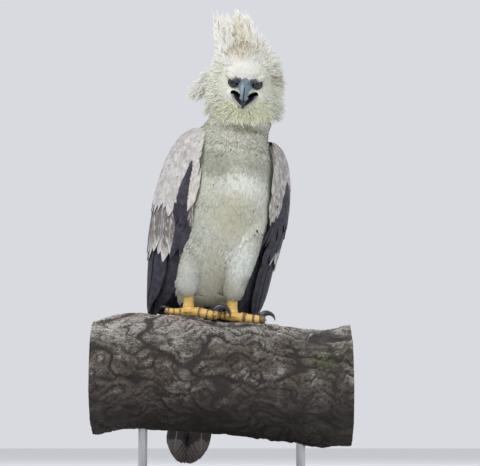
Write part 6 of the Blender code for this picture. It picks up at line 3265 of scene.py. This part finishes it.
@dataclass
class Foot:
    """A bare shank and four scaled toes with their hooked claws."""

    leg: Leg
    limb: Limb
    claw_radius: float = 0.0088
    scute: float = 0.0052
    joints: tuple[float, ...] = (0.42, 0.72, 0.97)

    @property
    def stance(self) -> Stance:
        """How this foot stands."""
        return STANCES[self.leg.side]

    @property
    def word(self) -> str:
        """The foot's side in the names of its pieces."""
        return self.leg.side.word

    def toe_rows(self, number: int, count: int) -> tuple[Array, Array]:
        """Places and radii along one toe, which follows the bark.

        Args:
            number: Which toe.
            count: How many places.

        Returns:
            The places and the radii.
        """
        heading, length, thick = self.stance.toes[number][:3]
        turn = math.radians(heading)
        s = np.linspace(0, 1, 6)
        x = self.stance.middle[0] + math.sin(turn) * length * s
        y = self.stance.middle[1] - math.cos(turn) * length * s
        radius = thick * (1.08 - 0.16 * s + 0.07 * np.cos(s * 4 * math.pi + 0.6))
        lean = np.arcsin(y / self.limb.middle(x)[1])
        places = self.limb.point(x, lean, radius * (0.80 + 0.22 * s * s))
        table = tuple((float(k), *places[i], radius[i]) for i, k in enumerate(s))
        found = Curve(table).at(np.linspace(0, 1, count))
        return found[:, :3], found[:, 3]

    def frame_of(self, number: int) -> tuple[Array, Array, Array, float]:
        """A toe's tip, the way ahead and across there, and its radius.

        Args:
            number: Which toe.

        Returns:
            The tip, the two ways and the radius.
        """
        places, radii = self.toe_rows(number, 6)
        ahead = unit(places[-1] - places[-2])
        return places[-1], ahead, unit(np.cross(ahead, (0, 0, 1.0))), float(radii[-1])

    def round_tube(
        self, name: str, path: Array, wide: Array, high: Array, side: Array
    ) -> bpy.types.Object:
        """A closed tube with its own width and height at each place.

        Args:
            name: The object's name.
            path: Points along its middle.
            wide: Half its width at each.
            high: Half its height at each.
            side: Roughly the way across at each.

        Returns:
            The object.
        """
        ahead = unit(np.gradient(path, axis=0))
        across = unit(side - ahead * (ahead * side).sum(axis=1, keepdims=True))
        up = np.cross(across, ahead)
        return loft(name, ellipses(path, across, up, wide, high, 24))

    def shank_rows(self) -> tuple[Array, Array]:
        """Places and radii down the shank.

        Returns:
            The places and the radii.
        """
        top = np.array(self.leg.rows[-1][:3]) + np.array((0, 0, DATUM + 0.004))
        x, y = self.stance.middle
        lean = math.asin(y / float(self.limb.middle(x)[1]))
        sole = self.limb.point(x, lean, 0.008)
        s = np.linspace(0, 1, 16)
        return top + (sole - top) * s[:, None], 0.0124 + 0.0042 * eased(0.5, 1.0, s)

    def skin(self) -> bpy.types.Object:
        """The shank and toes as one scaled skin.

        Returns:
            The object.
        """
        path, wide = self.shank_rows()
        across = np.broadcast_to((1.0, 0.0, 0.0), path.shape)
        parts = [self.round_tube("shank", path, wide, wide * 1.06, across)]
        for number in range(4):
            places, radii = self.toe_rows(number, 30)
            tip, ahead, across, r = self.frame_of(number)
            over = np.array([tip + ahead * r * k for k in (0.25, 0.50, 0.66)])
            places = np.concatenate((places, over))
            radii = np.concatenate((radii, r * np.array((0.96, 0.84, 0.66))))
            knuckle = 1 + 0.05 * np.cos(np.linspace(0, 1, len(radii)) * 6 * math.pi)
            sides = np.repeat(across[None], len(places), axis=0)
            parts.append(
                self.round_tube("toe", places, radii * knuckle, radii * 0.95 * knuckle, sides)
            )
        made = united(f"foot_skin_{self.word}", parts, 0.0012, 2)
        self._scutes(made)
        return made

    def _scutes(self, made: bpy.types.Object) -> None:
        """Raises plates over the toes and shank, and marks their grooves and joints.

        Args:
            made: The foot's skin.
        """
        points = places_of(made.data)
        flat = np.empty(len(points) * 3)
        made.data.vertices.foreach_get("normal", flat)
        normals = flat.reshape(-1, 3)
        best = np.full(len(points), 9.0)
        groove, dirt = np.zeros(len(points)), np.zeros(len(points))
        rows = [self.toe_rows(n, 60) for n in range(4)]
        rows.append(self.shank_rows())
        for number, (path, radii) in enumerate(rows):
            apart = np.linalg.norm(points[:, None] - path[None], axis=2) / radii[None]
            index = np.argmin(apart, axis=1)
            near = apart[np.arange(len(points)), index]
            lengths = np.linalg.norm(np.diff(path, axis=0), axis=1)
            steps = np.concatenate(((0,), np.cumsum(lengths)))
            run = steps[index]
            phase = np.mod(run / self.scute, 1.0)
            line = np.exp(-(((phase - 0.5) / 0.16) ** 2))
            share = run / steps[-1]
            joints = sum(np.exp(-(((share - k) / 0.055) ** 2)) for k in self.joints)
            strong = self.stance.stain if number < 3 else 0.4
            stained = joints * strong if number < 4 else 0.15 * share
            mine = near < best
            groove, dirt = np.where(mine, line, groove), np.where(mine, stained, dirt)
            best = np.where(mine, near, best)
        top = np.clip(normals[:, 2] * 0.8 + 0.35 - normals[:, 1] * 0.35, 0, 1)
        lift = (0.0007 - 0.0012 * groove) * top
        made.data.vertices.foreach_set("co", (points + normals * lift[:, None]).ravel())
        lay_mark(made.data, "mark", np.stack((groove * top, dirt, top), axis=1))
        made.data.update()
        made.data.shade_smooth()

    def claw(self, number: int) -> bpy.types.Object:
        """One hooked claw, from inside the toe's end over to the bark.

        Args:
            number: Which toe's.

        Returns:
            The object.
        """
        curl, reach, steep = self.stance.toes[number][3:]
        tip, ahead, across, r = self.frame_of(number)
        up = unit(np.cross(across, ahead))
        start = tip + up * r * 0.40 - ahead * r * 0.30
        rise = math.radians(steep)
        s = np.linspace(0, 1, 30)
        angle = -rise + reach / curl * s
        path = (
            start
            + ahead * (curl * (np.sin(angle) + math.sin(rise)))[:, None]
            + up * (curl * (np.cos(angle) - math.cos(rise)))[:, None]
        )
        thick = self.claw_radius * (1 - 0.93 * s**1.4) * (reach / 0.05) ** 0.35
        sides = np.repeat(across[None], len(path), axis=0)
        name = f"talon_{self.word}_{number + 1}"
        made = self.round_tube(name, path, thick * 0.84, thick, sides)
        points = places_of(made.data)
        apart = np.linalg.norm(points[:, None] - path[None], axis=2)
        index = np.argmin(apart, axis=1)
        away = points - path[index]
        turn = np.arctan2((away * up).sum(axis=1), (away * across).sum(axis=1))
        lay_mark(made.data, "mark", np.stack((index / (len(path) - 1), turn, 0 * turn), axis=1))
        return made

    def build(self) -> list[bpy.types.Object]:
        """Makes the foot's skin and its claws.

        Returns:
            The five objects.
        """
        scale = made_once("foot_scale", FootScale().material)
        horn = made_once("claw_horn", ClawHorn().material)
        made = [dressed(self.skin(), scale, [f"foot_{self.word}"])]
        for number in range(4):
            node = f"claw_{self.word}_{number + 1}"
            made.append(dressed(self.claw(number), horn, [node]))
        return made


@dataclass
class Stand:
    """The display stand, whose CAD solids keep their shape and get their finish."""

    rods: tuple[str, ...] = ("stand_rod_right", "stand_rod_left")
    base: str = "stand_base"

    def dress(self) -> None:
        """Gives the base its wood and the rods their steel."""
        finish = StandFinish()
        wood, steel = finish.base(), finish.rod()
        for name in self.rods:
            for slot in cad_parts[name].material_slots:
                slot.material = steel
        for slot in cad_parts[self.base].material_slots:
            slot.material = wood


# Studio


@dataclass(frozen=True)
class Lamp:
    """A soft area light: its name, place, width, power in watts and colour."""

    name: str
    place: Place
    size: float
    power: float
    tint: Colour


@dataclass
class Studio:
    """A pale floor, soft light and the photograph's view."""

    aim: Place = (0.044, 0.0, 0.623)
    distance: float = 3.8
    rise: float = -7.5
    shown: float = 1.176
    sensor: float = 36.0
    floor: Colour = (0.78, 0.78, 0.79)
    cloud: Colour = (0.72, 0.72, 0.74)
    sky: Colour = (0.86, 0.875, 0.93)
    sky_strength: float = 0.80
    lit: Place = (0.0, 0.0, 0.75)
    lamps: tuple[Lamp, ...] = (
        Lamp("key", (-1.3, -2.0, 3.2), 1.8, 66.0, (1.0, 0.985, 0.955)),
        Lamp("fill", (2.4, -1.8, 1.8), 2.4, 16.0, (0.95, 0.97, 1.0)),
        Lamp("back", (0.6, 1.6, 3.2), 2.2, 60.0, (0.97, 0.98, 1.0)),
    )

    def camera(self) -> None:
        """Places the camera at the photograph's angle and framing."""
        data = bpy.data.cameras.new("camera")
        data.sensor_width = self.sensor
        data.lens = self.sensor * self.distance / self.shown
        made = bpy.data.objects.new("camera", data)
        bpy.context.scene.collection.objects.link(made)
        low = math.radians(self.rise)
        back = Vector((0, -math.cos(low), math.sin(low)))
        made.location = Vector(self.aim) + back * self.distance
        made.rotation_euler = (-back).to_track_quat("-Z", "Y").to_euler()
        bpy.context.scene.camera = made

    def ground(self) -> None:
        """Lays the plain floor."""
        shape = bmesh.new()
        bmesh.ops.create_grid(shape, x_segments=2, y_segments=2, size=14.0)
        mesh = bpy.data.meshes.new("floor")
        shape.to_mesh(mesh)
        shape.free()
        floor = object_of("floor", mesh)
        recipe = Recipe("floor_plain")
        cloud = recipe.noise(recipe.place(), 3.0)
        tone = recipe.mix(cloud * 0.12, self.floor, self.cloud)
        mesh.materials.append(recipe.finish(Base_Color=tone, Roughness=0.9))

    def light(self, lamp: Lamp) -> None:
        """Hangs a light that looks at the bird.

        Args:
            lamp: Its sizes.
        """
        data = bpy.data.lights.new(lamp.name, "AREA")
        data.size, data.energy, data.color = lamp.size, lamp.power, lamp.tint
        made = bpy.data.objects.new(lamp.name, data)
        bpy.context.scene.collection.objects.link(made)
        made.location = lamp.place
        way = Vector(self.lit) - Vector(lamp.place)
        made.rotation_euler = way.to_track_quat("-Z", "Y").to_euler()

    def build(self) -> None:
        """Makes the camera, the floor and the lights."""
        self.camera()
        self.ground()
        for lamp in self.lamps:
            self.light(lamp)
        world = bpy.data.worlds.new("studio")
        bpy.context.scene.world = world
        world.use_nodes = True
        sky = world.node_tree.nodes["Background"]
        sky.inputs["Color"].default_value = (*self.sky, 1.0)
        sky.inputs["Strength"].default_value = self.sky_strength
        bpy.context.scene.view_settings.view_transform = "Standard"


def main() -> None:
    """Builds the bird, its limb and the studio in order."""
    logging.basicConfig(level=logging.INFO, format="%(message)s")
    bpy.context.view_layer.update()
    Studio().build()
    body, legs = Body(), Leg.pair()
    skin = body.build(legs)
    wings = [Wing(side, body) for side in Side]
    coat = Coat(body, legs, wings, skin)
    for region in Region:
        coat.grow(region)
    Crest().build()
    Ruff(body).build()
    Bill().build()
    for side, wing in zip(Side, wings):
        Eye(side).build()
        wing.build()
    Tail().build()
    limb = Limb()
    limb.build()
    for leg in legs:
        Foot(leg, limb).build()
    Stand().dress()


if __name__ == "__main__":
    main()
